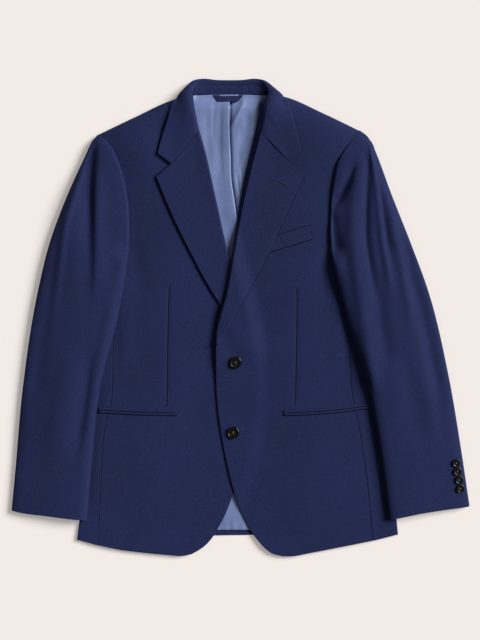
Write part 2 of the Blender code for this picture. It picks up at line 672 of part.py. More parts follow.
def lying_on_body(places, side):
    """Middle height of cloth lying on the table, or on the body where that is under it."""
    body = np.vstack([read(side.armhole), read(side.armhole_foot), read(side.side_fold), read(side.hem)])
    body = np.vstack([body, [(COLLAR_CENTRE_X, body[-1][1]), (COLLAR_CENTRE_X, body[0][1])]])
    over = ramp((depth_inside(places, body) + BODY_EDGE_RISE) / (BODY_EDGE_RISE - BODY_EDGE_TOP))
    over = over * falling(places[..., 1], ARMPIT)
    return FLOOR + over * (front_height(places) + SLEEVE_LIFT - FLOOR)


def sleeve_plan(side, u, first, last, v):
    """Plan of a sleeve half, between its outer fold and its inner side."""
    top = straight([first[0], last[0]], u)
    cuff = curve(side.cuff, u)
    first[-1], last[-1] = cuff[0], cuff[-1]
    return patch(top, cuff, first, last, u, v)


def sleeve_rounding(side, plan):
    """How far each place of a sleeve is round its outer fold, from 0 at the fold to 1 inside."""
    silhouette = np.vstack([side.shoulder[:1], read(side.sleeve_outer)])
    return quarter(distance_to(plan, silhouette), SHOULDER_ROLL)


def sleeve_levels(side, plan):
    """For each row of a sleeve: its surface at the outer fold, its surface and the height of its
    fold on the inner side, and what it lies on there."""
    first, last = plan[:, 0], plan[:, -1]
    rising = falling(last[:, 1], INNER_SEAM)
    outer = station(first[:, 1], "outer")
    over_front = ramp((side.armhole[-1][1] + OVER_FRONT_FROM - last[:, 1]) / OVER_FRONT_LENGTH)
    bed = lying_on_body(last, side)
    seam = body_height(last, side) + over_front * SLEEVE_LIFT
    full = seam + rising * station(last[:, 1], "inner")
    fold = seam + rising * station(last[:, 1], "inner") / 2
    return outer[:, None], full[:, None], fold[:, None], bed[:, None], rising[:, None]


def top_sleeve(side, sleeve_folds, name, material, collection):
    """The upper half of a sleeve: from the fold at its outer edge up over its crown, and down to
    the armhole seam or to its inner fold on the body."""
    last, first, v = sleeve_rows(side)
    across = first - last
    last = last + across * (SLEEVE_SEAM / np.linalg.norm(across, axis=1, keepdims=True))
    u = sleeve_columns(ROUND_SHARES, SLEEVE_MIDDLE)
    plan = inset(sleeve_plan(side, u, first, last, v))
    outer, inner, inner_fold, _, rising = sleeve_levels(side, plan)
    outer_gap = np.linalg.norm(plan - plan[:, :1], axis=-1)
    inner_gap = np.linalg.norm(plan - plan[:, -1:], axis=-1)
    width = outer_gap[:, -1:]
    share = outer_gap / width
    crown = station(plan[..., 1], "crown") * np.sin(math.pi * share) * ramp(width / CROWN_WIDTH)
    full = outer + (inner - outer) * ramp(share) + crown
    full = full - (inner - inner_fold - rising * EDGE_RISE) * (1 - quarter(inner_gap, SLEEVE_ROUND))
    inside = ramp(outer_gap / CREASE_MARGIN) * ramp(inner_gap / CREASE_MARGIN)
    full = full + folds(plan, sleeve_folds) * inside
    middle = (FLOOR + full) / 2
    rounding = sleeve_rounding(side, plan)
    height = middle + EDGE_RISE * (1 - rounding) + (full - middle) * rounding
    return wall(name, raised(plan, height), WOOL, material, collection)


def under_sleeve(side, name, material, collection):
    """The lower half of a sleeve: sewn to the back's armhole and the top of the side body, and
    then on the table, over the side of the body, and up to both folds."""
    outwards = np.sign(side.cuff[0][0]) * np.array([2 * SEAM_GAP, 0])
    armhole = back_armhole_points(side) + outwards
    armhole[-1] = armhole[-2] + (armhole[-1] - armhole[-2]) * UNDER_ARMHOLE_END
    across = straight([side.side_fold[0], side.armhole_foot[-1]], UNDER_ACROSS_SHARES) + [0, SEAM_GAP]
    inner = curve(side.sleeve_inner, np.linspace(0, 1, SLEEVE_ROWS + 1))
    inner = inner[inner[:, 1] < UNDER_START]
    last = np.vstack([armhole, across, inner])
    outline = read(side.sleeve_outer, 200)[::-1]
    outer_y = np.interp(last[:, 1], ROW_INNER_Y[::-1], ROW_OUTER_Y[::-1])
    first = np.stack([np.interp(outer_y, outline[:, 1], outline[:, 0]), outer_y], axis=1)
    v = row_shares(last)
    u = sleeve_columns(UNDER_ROUND_SHARES, UNDER_MIDDLE)
    plan = inset(sleeve_plan(side, u, first, last, v))
    outer, _, inner_fold, bed, _ = sleeve_levels(side, plan)
    inner_gap = np.linalg.norm(plan - plan[:, -1:], axis=-1)
    outer_gap = np.linalg.norm(plan - plan[:, :1], axis=-1)
    row = np.arange(len(plan))[:, None]
    at_back = back_height(plan[:, -1:])
    ground = lying_on_body(plan, side)
    near_back = (row < len(armhole)) * (1 - ramp(inner_gap / UNDER_BACK_REACH))
    ground = ground + (at_back - ground) * near_back
    folded = (row >= len(armhole) + len(across)) * (1 - quarter(inner_gap, SLEEVE_ROUND))
    ground = ground + (inner_fold - EDGE_DROP - bed) * folded
    fold = (FLOOR + outer) / 2 - EDGE_DROP
    rounded = (1 - sleeve_rounding(side, plan) ** 2) * (1 - ramp(outer_gap / (outer_gap + inner_gap)))
    height = ground + (fold - ground) * rounded
    return wall(name, raised(plan, height), WOOL, material, collection)


def lapel(side, name, material, collection):
    """A lapel: the facing turned out at the roll line on a half circle, and lying on its front."""
    v = np.linspace(0.0, 1.0, LAPEL_ROWS)
    roll = straight(read(side.roll, 120), np.linspace(*roll_span(side), LAPEL_ROWS))
    edge = curve(side.lapel_edge, v)
    toward = edge - roll
    toward /= np.linalg.norm(toward, axis=1, keepdims=True)
    radius = fold_radius(roll[:, 1])[:, None]
    start = roll + toward * radius
    u = LAPEL_SHARES
    gorge = straight(side.gorge, u)
    gorge[0] = start[0]
    bottom = straight([start[-1], edge[-1]], u)
    plan = patch(gorge, bottom, start, edge, u, v)
    height = body_height(plan, side) + roll_rise(plan, side.roll)
    columns = []
    for angle in ROLL_ANGLES:
        a = math.radians(angle)
        bend = roll + toward * radius * (1 - math.cos(a))
        columns.append(raised(bend, body_height(bend, side) + radius[:, 0] * (1 + math.sin(a))))
    grid = np.concatenate([np.stack(columns, axis=1), raised(plan, height)], axis=1)
    return wall(name, end_inset(grid), LAPEL, material, collection)


def roll_span(side):
    """Shares of the roll line's length between the gorge and the lapel's foot."""
    line = read(side.roll, 200)
    shares = row_shares(line)
    top, foot = side.gorge[0][1], side.lapel_edge[-1][1]
    return float(np.interp(-top, -line[:, 1], shares)), float(np.interp(-foot, -line[:, 1], shares))


def collar_end(side, section):
    """Points of a collar section that lies on a front, with its half circle at the roll line."""
    edge, crest, roll = (np.array(point, float) for point in section)
    toward = (crest - roll) / np.linalg.norm(crest - roll)
    radius = float(fold_radius(roll[1]))
    flat = np.array([edge, crest, roll + toward * radius])
    points = [raised(flat, body_height(flat, side) + roll_rise(flat, side.roll))]
    for angle in COLLAR_ANGLES:
        a = math.radians(angle)
        bend = (roll + toward * radius * (1 - math.cos(a)))[None]
        points.append(raised(bend, body_height(bend, side) + radius * (1 + math.sin(a))))
    return np.vstack(points)


def collar_sections():
    """The collar's sections all the way round, from the right tip to the left one."""
    right = [collar_end(RIGHT, section) for section in RIGHT_END]
    left = [collar_end(LEFT, section) for section in LEFT_END]
    back_half = [np.array(section, float) for section in COLLAR_BACK]
    mirrored = [points * [-1, 1, 1] + [2 * COLLAR_CENTRE_X, 0, 0] for points in back_half]
    return np.array(right + back_half + mirrored[-2::-1] + left[::-1])


def clear_of_fronts(points):
    """Least middle height of the collar over the rounded shoulder of a front, or 0 off it."""
    level = np.zeros(points.shape[:-1])
    for side in (RIGHT, LEFT):
        over = depth_inside(points, front_outline(side)) > -COLLAR_OVERLAP
        offset = COLLAR_OFFSET * steepness(lambda p: upper_height(p, side), points)
        level = np.where(over, np.maximum(level, upper_height(points, side) + offset), level)
    return level


def collar(material, collection):
    """The collar's fall: on the fronts at its ends, over the shoulders, and under the back."""
    sections = collar_sections()
    steps = COLLAR_ROWS + COLLAR_ROWS[::-1]
    spread = [start + np.arange(count) / count for start, count in enumerate(steps)]
    t = np.concatenate(spread + [[len(steps)]])
    k = np.clip(t.astype(int), 0, len(sections) - 2)
    s = (t - k)[:, None, None]
    slopes = np.gradient(sections, axis=0)
    net = (
        (2 * s**3 - 3 * s**2 + 1) * sections[k]
        + (s**3 - 2 * s**2 + s) * slopes[k]
        + (3 * s**2 - 2 * s**3) * sections[k + 1]
        + (s**3 - s**2) * slopes[k + 1]
    )
    rows = []
    for points in net:
        under = straight(points[:2], (0.0, 0.5))
        over = straight(points[1:3], (0.0, 0.4, 0.8))
        rows.append(np.vstack([under, over, points[2:]]))
    grid = np.array(rows)
    over_front = np.minimum(t, len(steps) - t) < LAST_SECTION_ON_FRONT
    grid[over_front, :, 2] = np.maximum(grid[over_front, :, 2], clear_of_fronts(grid[over_front]))
    return wall("collar", end_inset(end_inset(grid)[::-1]), LAPEL, material, collection)


def collar_stand(material, collection):
    """The stand: from the seam under the collar's fold down to the neck seam."""
    shares = np.linspace(0, 1, 6)
    halves = [curve(line, shares) for line in (STAND_TOP, STAND_FOOT)]
    rows = []
    for half in halves:
        mirrored = half[-2::-1] * [-1, 1, 1] + [2 * COLLAR_CENTRE_X, 0, 0]
        rows.append(np.vstack([half, mirrored]))
    middle = (rows[0] + rows[1]) / 2
    return wall("collar_stand", np.stack([rows[0], middle, rows[1]]), LAPEL, material, collection)


def strip_on(height_of, centre_line, width, thickness, name, material, collection, columns=8):
    """A strip of cloth along a line, lying on the surface whose middle height is given."""
    line = curve(centre_line, np.linspace(0, 1, columns))
    along = np.gradient(line, axis=0)
    along /= np.linalg.norm(along, axis=1, keepdims=True)
    across = np.stack([-along[:, 1], along[:, 0]], axis=1) * width / 2
    plan = np.stack([line + across, line, line - across])
    return wall(name, raised(plan, height_of(plan)), thickness, material, collection)


def jets(side, name, material, collection):
    """The two jets of a hip pocket, above and below its slit."""
    line = np.asarray(RIGHT_POCKET if side is RIGHT else LEFT_POCKET, float)
    shift = (POCKET_JET + POCKET_SLIT) / 2
    for label, sign in (("upper", 1), ("lower", -1)):
        strip_on(
            lambda plan: body_height(plan, side) + TRIM_LIFT,
            line + [0, sign * shift],
            POCKET_JET,
            TRIM,
            f"{name}_{label}",
            material,
            collection,
        )


def plate_on(height_of, corners, thickness, name, material, collection):
    """A four-cornered piece lying on a surface."""
    u, v = np.linspace(0, 1, 6), np.linspace(0, 1, 3)
    a, b, c, d = np.asarray(corners, float)
    plan = patch(straight([a, b], u), straight([d, c], u), straight([a, d], v), straight([b, c], v), u, v)
    return wall(name, raised(plan, height_of(plan)), thickness, material, collection)


def turned(name, profile, steps):
    """Mesh of a turned solid: a profile of (radius, height) points with a Screw modifier."""
    mesh = bpy.data.meshes.new(name)
    edges = [(i, i + 1) for i in range(len(profile) - 1)]
    mesh.from_pydata([(r * MM, 0.0, z * MM) for r, z in profile], edges, [])
    obj = bpy.data.objects.new(name, mesh)
    screw = obj.modifiers.new("Turn", "SCREW")
    screw.steps = steps
    screw.render_steps = steps
    screw.use_merge_vertices = True
    screw.merge_threshold = 0.00001
    return obj


def button_mesh(name, size, material, collection, cutters):
    """Mesh of a four-hole button: a rimmed disc, turned, with its holes cut through."""
    radius, thick, well = size.diameter / 2, size.thickness, size.well
    profile = (
        (0.0, well),
        (radius - size.rim, well),
        (radius - 0.5 * size.rim, thick),
        (radius - 0.12 * size.rim, thick * 0.86),
        (radius, thick * 0.5),
        (radius - 0.35 * size.rim, 0.0),
        (0.0, 0.0),
    )
    blank = turned(name, profile[::-1], 18)
    collection.objects.link(blank)
    for index in range(4):
        angle = math.pi / 4 + index * math.pi / 2
        reach = size.hole_reach
        bpy.ops.mesh.primitive_cylinder_add(
            vertices=6,
            radius=size.hole / 2 * MM,
            depth=3 * thick * MM,
            location=(reach * math.cos(angle) * MM, reach * math.sin(angle) * MM, 0),
        )
        cutter = bpy.context.object
        cutter.name = f"{name}_hole_{index}"
        cutter.hide_render = True
        cutter.display_type = "WIRE"
        bpy.context.collection.objects.unlink(cutter)
        cutters.objects.link(cutter)
        hole = blank.modifiers.new(f"Hole {index}", "BOOLEAN")
        hole.object = cutter
    bpy.context.view_layer.update()
    graph = bpy.context.evaluated_depsgraph_get()
    mesh = bpy.data.meshes.new_from_object(blank.evaluated_get(graph))
    bpy.data.objects.remove(blank)
    mesh.materials.clear()
    mesh.materials.append(material)
    mesh.set_sharp_from_angle(angle=math.radians(40))
    mesh.name = name
    return mesh


def seat(name, mesh, diameter, place, cloth, collection):
    """A button lying on a piece of cloth at a place, tilted with it and just clear of it."""
    bpy.context.view_layer.update()
    graph = bpy.context.evaluated_depsgraph_get()
    evaluated = cloth.evaluated_get(graph)
    touched = []
    for index in range(BUTTON_FEELERS):
        angle = 2 * math.pi * index / BUTTON_FEELERS
        for reach in (0.25 * diameter, 0.5 * diameter):
            x, y = place[0] + reach * math.cos(angle), place[1] + reach * math.sin(angle)
            hit, spot, _, _ = evaluated.ray_cast(Vector((x, y, 100)) * MM, Vector((0, 0, -1)))
            if hit:
                touched.append(np.array(spot) / MM)
    touched = np.array(touched)
    centre = touched.mean(axis=0)
    normal = np.linalg.svd(touched - centre)[2][2]
    normal = normal * np.sign(normal[2])
    highest = ((touched - centre) @ normal).max()
    obj = bpy.data.objects.new(name, mesh)
    turn = Vector((0, 0, 1)).rotation_difference(Vector(normal)).to_matrix().to_4x4()
    spot = Vector(centre + normal * (highest + BUTTON_GAP)) * MM
    obj.matrix_world = Matrix.Translation(spot) @ turn
    collection.objects.link(obj)
    return obj


def clear_scene():
    """Removes every object of the opened file."""
    for obj in list(bpy.data.objects):
        bpy.data.objects.remove(obj)


def main():
    clear_scene()
    blazer = bpy.data.collections.new("blazer")
    cutters = bpy.data.collections.new("cutters")
    for collection in (blazer, cutters):
        bpy.context.scene.collection.children.link(collection)
    wool = make_material("wool_navy", (0.018, 0.024, 0.068), 0.85)
    satin = make_material("lining_blue", (0.15, 0.2, 0.37), 0.4)
    horn = make_material("button_horn", (0.012, 0.012, 0.016), 0.35)

    back(wool, blazer)
    back_lining(satin, blazer)
    sides = ((RIGHT, "right", RIGHT_SLEEVE_FOLDS), (LEFT, "left", LEFT_SLEEVE_FOLDS))
    for side, label, sleeve_folds in sides:
        fastened = front(side, f"front_{label}", wool, blazer)
        side_body(side, f"side_{label}", wool, blazer)
        upper = top_sleeve(side, sleeve_folds, f"top_sleeve_{label}", wool, blazer)
        under_sleeve(side, f"under_sleeve_{label}", wool, blazer)
        lapel(side, f"lapel_{label}", wool, blazer)
        jets(side, f"jet_{label}", wool, blazer)
    collar(wool, blazer)
    collar_stand(wool, blazer)
    plate_on(lambda plan: body_height(plan, LEFT) + TRIM_LIFT, WELT, TRIM, "breast_welt", wool, blazer)
    plate_on(lambda plan: lining_height(plan) + TAB_LIFT, NECK_TAB, TRIM, "neck_tab", wool, blazer)
    strip_on(
        lambda plan: lining_height(plan) + LOOP_LIFT,
        HANGER_LOOP,
        HANGER_LOOP_WIDTH,
        TRIM,
        "hanger_loop",
        wool,
        blazer,
        4,
    )
    front_mesh = button_mesh("front_button", FRONT_BUTTON, horn, blazer, cutters)
    for label, place in zip(("upper", "lower"), FRONT_BUTTONS):
        seat(f"front_button_{label}", front_mesh, FRONT_BUTTON.diameter, place, fastened, blazer)
    cuff_mesh = button_mesh("cuff_button", CUFF_BUTTON, horn, blazer, cutters)
    for number, place in enumerate(CUFF_BUTTONS, start=1):
        seat(f"cuff_button_{number}", cuff_mesh, CUFF_BUTTON.diameter, place, upper, blazer)


main()
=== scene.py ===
"""Looks of a single breasted navy blazer lying flat on its back, fastened left over right.

Every piece of cloth is a grid of points worked out from its cut: a patch between its boundary
lines gives the plan, and functions of the place on the table give the height. The grid then
becomes a closed shell with rounded edges. Sizes are in millimetres, +Y points to the collar and
+Z up from the table, and right and left are the wearer's.
"""

import logging
import math
from dataclasses import dataclass, field
from enum import Enum
from typing import Callable, Optional, Sequence

import bpy
import numpy as np
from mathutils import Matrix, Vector


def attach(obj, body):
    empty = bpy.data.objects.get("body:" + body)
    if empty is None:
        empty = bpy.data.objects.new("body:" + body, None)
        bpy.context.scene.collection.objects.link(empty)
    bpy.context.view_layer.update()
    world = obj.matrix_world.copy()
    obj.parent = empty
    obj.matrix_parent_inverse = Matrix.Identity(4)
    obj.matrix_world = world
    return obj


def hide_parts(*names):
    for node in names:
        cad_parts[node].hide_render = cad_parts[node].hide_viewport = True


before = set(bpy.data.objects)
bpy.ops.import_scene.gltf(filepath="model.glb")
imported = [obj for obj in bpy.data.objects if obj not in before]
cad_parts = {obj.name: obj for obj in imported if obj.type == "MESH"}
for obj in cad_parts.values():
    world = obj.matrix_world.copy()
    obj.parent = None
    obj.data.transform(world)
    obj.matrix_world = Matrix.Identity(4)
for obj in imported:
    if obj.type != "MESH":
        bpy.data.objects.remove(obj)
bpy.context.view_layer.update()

log = logging.getLogger("blazer")

MM = 0.001
BODY = "root"
Array = np.ndarray
Line = Sequence[Sequence[float]]


class Side(Enum):
    """A side of the wearer."""

    RIGHT = "right"
    LEFT = "left"


class Slot(Enum):
    """The record's material slots."""

    WOOL = "wool_navy"
    LINING = "lining_blue"
    HORN = "button_horn"


@dataclass(frozen=True)
class Finish:
    """A built material, and the slot of the record that it belongs to."""

    material: bpy.types.Material
    slot: Slot


# ---- Lines, patches and distances ----


def smoothstep(value: Array | float) -> Array:
    """Smooth step: 3t^2 - 2t^3, with t the value held between 0 and 1."""
    t = np.clip(value, 0.0, 1.0)
    return t * t * (3.0 - 2.0 * t)


def falling(value: Array | float, upper: float, lower: float) -> Array:
    """Smooth step that is 0 at the upper value and 1 at the lower one."""
    return smoothstep((upper - value) / (upper - lower))


def window(value: Array, low: float, low_ramp: float, high: float, high_ramp: float) -> Array:
    """Smooth steps up past the low end and down before the high one, multiplied."""
    return smoothstep((value - low) / low_ramp) * smoothstep((high - value) / high_ramp)


def quarter_round(distance: Array, reach: float) -> Array:
    """Quarter of an ellipse: 0 at distance 0 with an upright tangent, 1 from the reach on."""
    left = 1.0 - np.clip(distance / reach, 0.0, 1.0)
    return np.sqrt(1.0 - left * left)


def lengths_along(points: Array) -> Array:
    """Distance along a line of points from its first one, at each point."""
    steps = np.linalg.norm(np.diff(points, axis=0), axis=1)
    return np.concatenate([[0.0], np.cumsum(steps)])


def corner_line(points: Line, shares: Sequence[float]) -> Array:
    """Line with straight stretches and kept corners, read at shares of its length.

    Args:
        points: The line's corners.
        shares: Shares of its length, from 0 to 1.

    Returns:
        Its point at each share.
    """
    knots = np.asarray(points, float)
    along = lengths_along(knots)
    wanted = np.asarray(shares, float) * along[-1]
    return np.stack([np.interp(wanted, along, knots[:, axis]) for axis in range(knots.shape[1])], axis=1)


def refined(grid: Array, counts: Sequence[int]) -> Array:
    """Grid with more rows, on cubic Hermite curves through the points of each column.

    The slope at a point is that of the parabola through it and its two neighbours, by the
    length between them.

    Args:
        grid: Points in rows and columns.
        counts: How many steps each stretch between two rows is divided into.

    Returns:
        The finer grid.
    """
    steps = np.diff(grid, axis=0)
    length = np.maximum(np.linalg.norm(steps, axis=-1, keepdims=True), 1e-6)
    rates = steps / length
    inner = (rates[:-1] * length[1:] + rates[1:] * length[:-1]) / (length[:-1] + length[1:])
    slopes = np.concatenate([rates[:1], inner, rates[-1:]])
    places = [row + np.arange(count) / count for row, count in enumerate(counts)]
    at = np.concatenate(places + [np.array([float(len(counts))])])
    row = np.minimum(at.astype(int), len(counts) - 1)
    t = (at - row)[:, None, None]
    return (
        (2 * t**3 - 3 * t**2 + 1) * grid[row]
        + (t**3 - 2 * t**2 + t) * length[row] * slopes[row]
        + (3 * t**2 - 2 * t**3) * grid[row + 1]
        + (t**3 - t**2) * length[row] * slopes[row + 1]
    )


def smooth_line(points: Line, shares: Sequence[float]) -> Array:
    """Smooth line through a few points, read at shares of its length.

    Args:
        points: A few points of the line.
        shares: Shares of its length, from 0 to 1.

    Returns:
        Its point at each share.
    """
    knots = np.asarray(points, float)
    line = refined(knots[:, None], [40] * (len(knots) - 1))[:, 0]
    return corner_line(line, shares)


def plain(points: Line, count: int = 32) -> Array:
    """Evenly spaced points of a smooth line, for measuring distances to it."""
    return smooth_line(points, np.linspace(0.0, 1.0, count))


def x_at(path: Line, y: Array, count: int = 32) -> Array:
    """Place from left to right, at each y, of a smooth line that runs downwards."""
    line = plain(path, count)[::-1]
    return np.interp(y, line[:, 1], line[:, 0])


def unit(vectors: Array) -> Array:
    """Vectors brought to a length of 1."""
    return vectors / np.linalg.norm(vectors, axis=-1, keepdims=True)


def joined(*parts: Array) -> Array:
    """Lines joined end to end, with each shared end kept once."""
    return np.vstack([parts[0]] + [part[1:] for part in parts[1:]])


def shares_of(points: Array) -> Array:
    """Share of a line's length at each of its points."""
    along = lengths_along(points)
    return along / along[-1]


def graded(length: float, step: float, edge: Sequence[float] = (0.0, 1.3, 2.6, 4.6)) -> Array:
    """Shares of a length, an even step apart inside and closer together at both ends.

    Args:
        length: The length to divide, in millimetres.
        step: The step inside.
        edge: Distances from each end, from 0 up.

    Returns:
        The shares, from 0 to 1.
    """
    near = np.asarray(edge, float)
    count = max(int(round((length - 2 * near[-1]) / step)), 1)
    inside = np.linspace(near[-1], length - near[-1], count + 1)[1:-1]
    return np.concatenate([near, inside, length - near[::-1]]) / length


def coons_patch(
    top: Array, bottom: Array, first: Array, last: Array, u: Array, v: Array
) -> Array:
    """Patch between four boundary lines.

    The blend of top and bottom by v, plus the blend of first and last by u, less the blend of
    the four corners by both, which the two others hold in common.

    Args:
        top: The line at v = 0, with a point for each u.
        bottom: The line at v = 1.
        first: The line at u = 0, with a point for each v.
        last: The line at u = 1.
        u: Shares along a row.
        v: Shares down a column.

    Returns:
        Points in rows and columns.
    """
    across = np.asarray(u)[None, :, None]
    down = np.asarray(v)[:, None, None]
    rows = (1 - down) * top[None] + down * bottom[None]
    columns = (1 - across) * first[:, None] + across * last[:, None]
    upper = (1 - across) * top[0] + across * top[-1]
    lower = (1 - across) * bottom[0] + across * bottom[-1]
    return rows + columns - (1 - down) * upper - down * lower


def drawn_in(grid: Array, gap: float) -> Array:
    """The grid with the points of its four sides moved inwards by a gap.

    Args:
        grid: Points in rows and columns.
        gap: How far the sides move.

    Returns:
        The narrower grid.
    """
    moved = grid.copy()
    rows = ((moved[0], moved[1]), (moved[-1], moved[-2]))
    columns = ((moved[:, 0], moved[:, 1]), (moved[:, -1], moved[:, -2]))
    for edge, near in rows + columns:
        step = near - edge
        edge += step * (gap / np.maximum(np.linalg.norm(step, axis=-1, keepdims=True), 1.5 * gap))
    return moved


def along_line(places: Array, path: Array) -> tuple[Array, Array, Array]:
    """Where each place lies beside a line of short straight stretches.

    Each place is dropped onto every stretch, and its nearest foot counts. The side comes from
    the cross product of the stretch and the way to the place.

    Args:
        places: Points whose x and y are read.
        path: The line's points.

    Returns:
        The distance, its sign (1 to the left of the line's way, -1 to the right), and the share
        of the line's length at the foot.
    """
    spots = np.asarray(places, float)[..., :2]
    path = np.asarray(path, float)[:, :2]
    along = lengths_along(path)
    nearest = np.full(spots.shape[:-1], np.inf)
    sign = np.ones(spots.shape[:-1])
    share = np.zeros(spots.shape[:-1])
    for start, end, begins in zip(path[:-1], path[1:], along[:-1]):
        step = end - start
        size = max(float(np.hypot(*step)), 1e-9)
        t = np.clip((spots - start) @ step / size**2, 0.0, 1.0)
        away = spots - start - t[..., None] * step
        gap = np.hypot(away[..., 0], away[..., 1])
        closer = gap < nearest
        turn = step[0] * (spots[..., 1] - start[1]) - step[1] * (spots[..., 0] - start[0])
        nearest = np.where(closer, gap, nearest)
        sign = np.where(closer, np.where(turn >= 0, 1.0, -1.0), sign)
        share = np.where(closer, (begins + t * size) / along[-1], share)
    return nearest, sign, share


def distance_to(places: Array, path: Array) -> Array:
    """Distance of each place to a line, seen from above."""
    return along_line(places, path)[0]


def depth_inside(places: Array, ring: Array) -> Array:
    """Distance of each place to a closed outline, positive inside it, by counting crossings.

    Args:
        places: Points whose x and y are read.
        ring: The outline's points, in order.

    Returns:
        The distances.
    """
    spots = np.asarray(places, float)
    x, y = spots[..., 0], spots[..., 1]
    closed = np.vstack([ring, ring[:1]])
    inside = np.zeros(x.shape, bool)
    for (x0, y0), (x1, y1) in zip(closed[:-1], closed[1:]):
        if y0 != y1:
            inside ^= ((y0 > y) != (y1 > y)) & (x < (x1 - x0) * (y - y0) / (y1 - y0) + x0)
    return np.where(inside, 1.0, -1.0) * distance_to(places, closed)


def evened(column: Array, reach: int) -> Array:
    """A column of heights, each averaged with as many rows as the reach on both sides."""
    padded = np.pad(column[:, 0], reach, mode="edge")
    return np.convolve(padded, np.full(2 * reach + 1, 1 / (2 * reach + 1)), mode="valid")[:, None]


def raised(plan: Array, height: Array) -> Array:
    """Plan points with their heights."""
    return np.concatenate([plan[..., :2], height[..., None]], axis=-1)


def steepness(height_of: Callable[[Array], Array], places: Array) -> Array:
    """Length of a surface's normal for a unit of height: the root of 1 plus its squared slopes.

    Args:
        height_of: Gives the surface's height at some places.
        places: Points whose x and y are read.

    Returns:
        The lengths.
    """
    slopes = []
    for shift in ((1.0, 0.0), (0.0, 1.0)):
        step = np.zeros(places.shape[-1])
        step[:2] = shift
        slopes.append((height_of(places + step) - height_of(places - step)) / 2)
    return np.sqrt(1 + slopes[0] ** 2 + slopes[1] ** 2)


# ---- The cut ----


@dataclass(frozen=True)
class Outline:
    """Boundary lines of one side of the blazer, seen from above, as (x, y) points."""

    shoulder: Line
    armhole: Line
    armhole_foot: Line
    side_seam: Line
    side_fold: Line
    back_armhole: Line
    hem: Line
    front_edge: Line
    roll: Line
    lapel_edge: Line
    gorge: Line
    sleeve_inner: Line
    sleeve_outer: Line
    cuff: Line
    pocket: Line
    dart: Line

    def front_ring(self) -> Array:
        """Closed outline of the front, up to its roll line."""
        down = [plain(self.shoulder[::-1]), plain(self.armhole), plain(self.side_seam), plain(self.hem)]
        return np.vstack(down + [plain(self.front_edge)[::-1], plain(self.roll)[::-1]])

    def lapel_ring(self) -> Array:
        """Closed outline of the lapel."""
        return np.vstack([plain(self.lapel_edge), plain(self.roll)[::-1], np.asarray(self.gorge, float)])

    def body_ring(self, centre_x: float) -> Array:
        """Closed outline of the body on this side, without the sleeve, to the centre.

        Args:
            centre_x: The body's middle, from left to right.

        Returns:
            The outline's points.
        """
        down = [plain(self.armhole), plain(self.armhole_foot), plain(self.side_fold), plain(self.hem)]
        ring = np.vstack(down)
        return np.vstack([ring, [(centre_x, ring[-1][1]), (centre_x, ring[0][1])]])


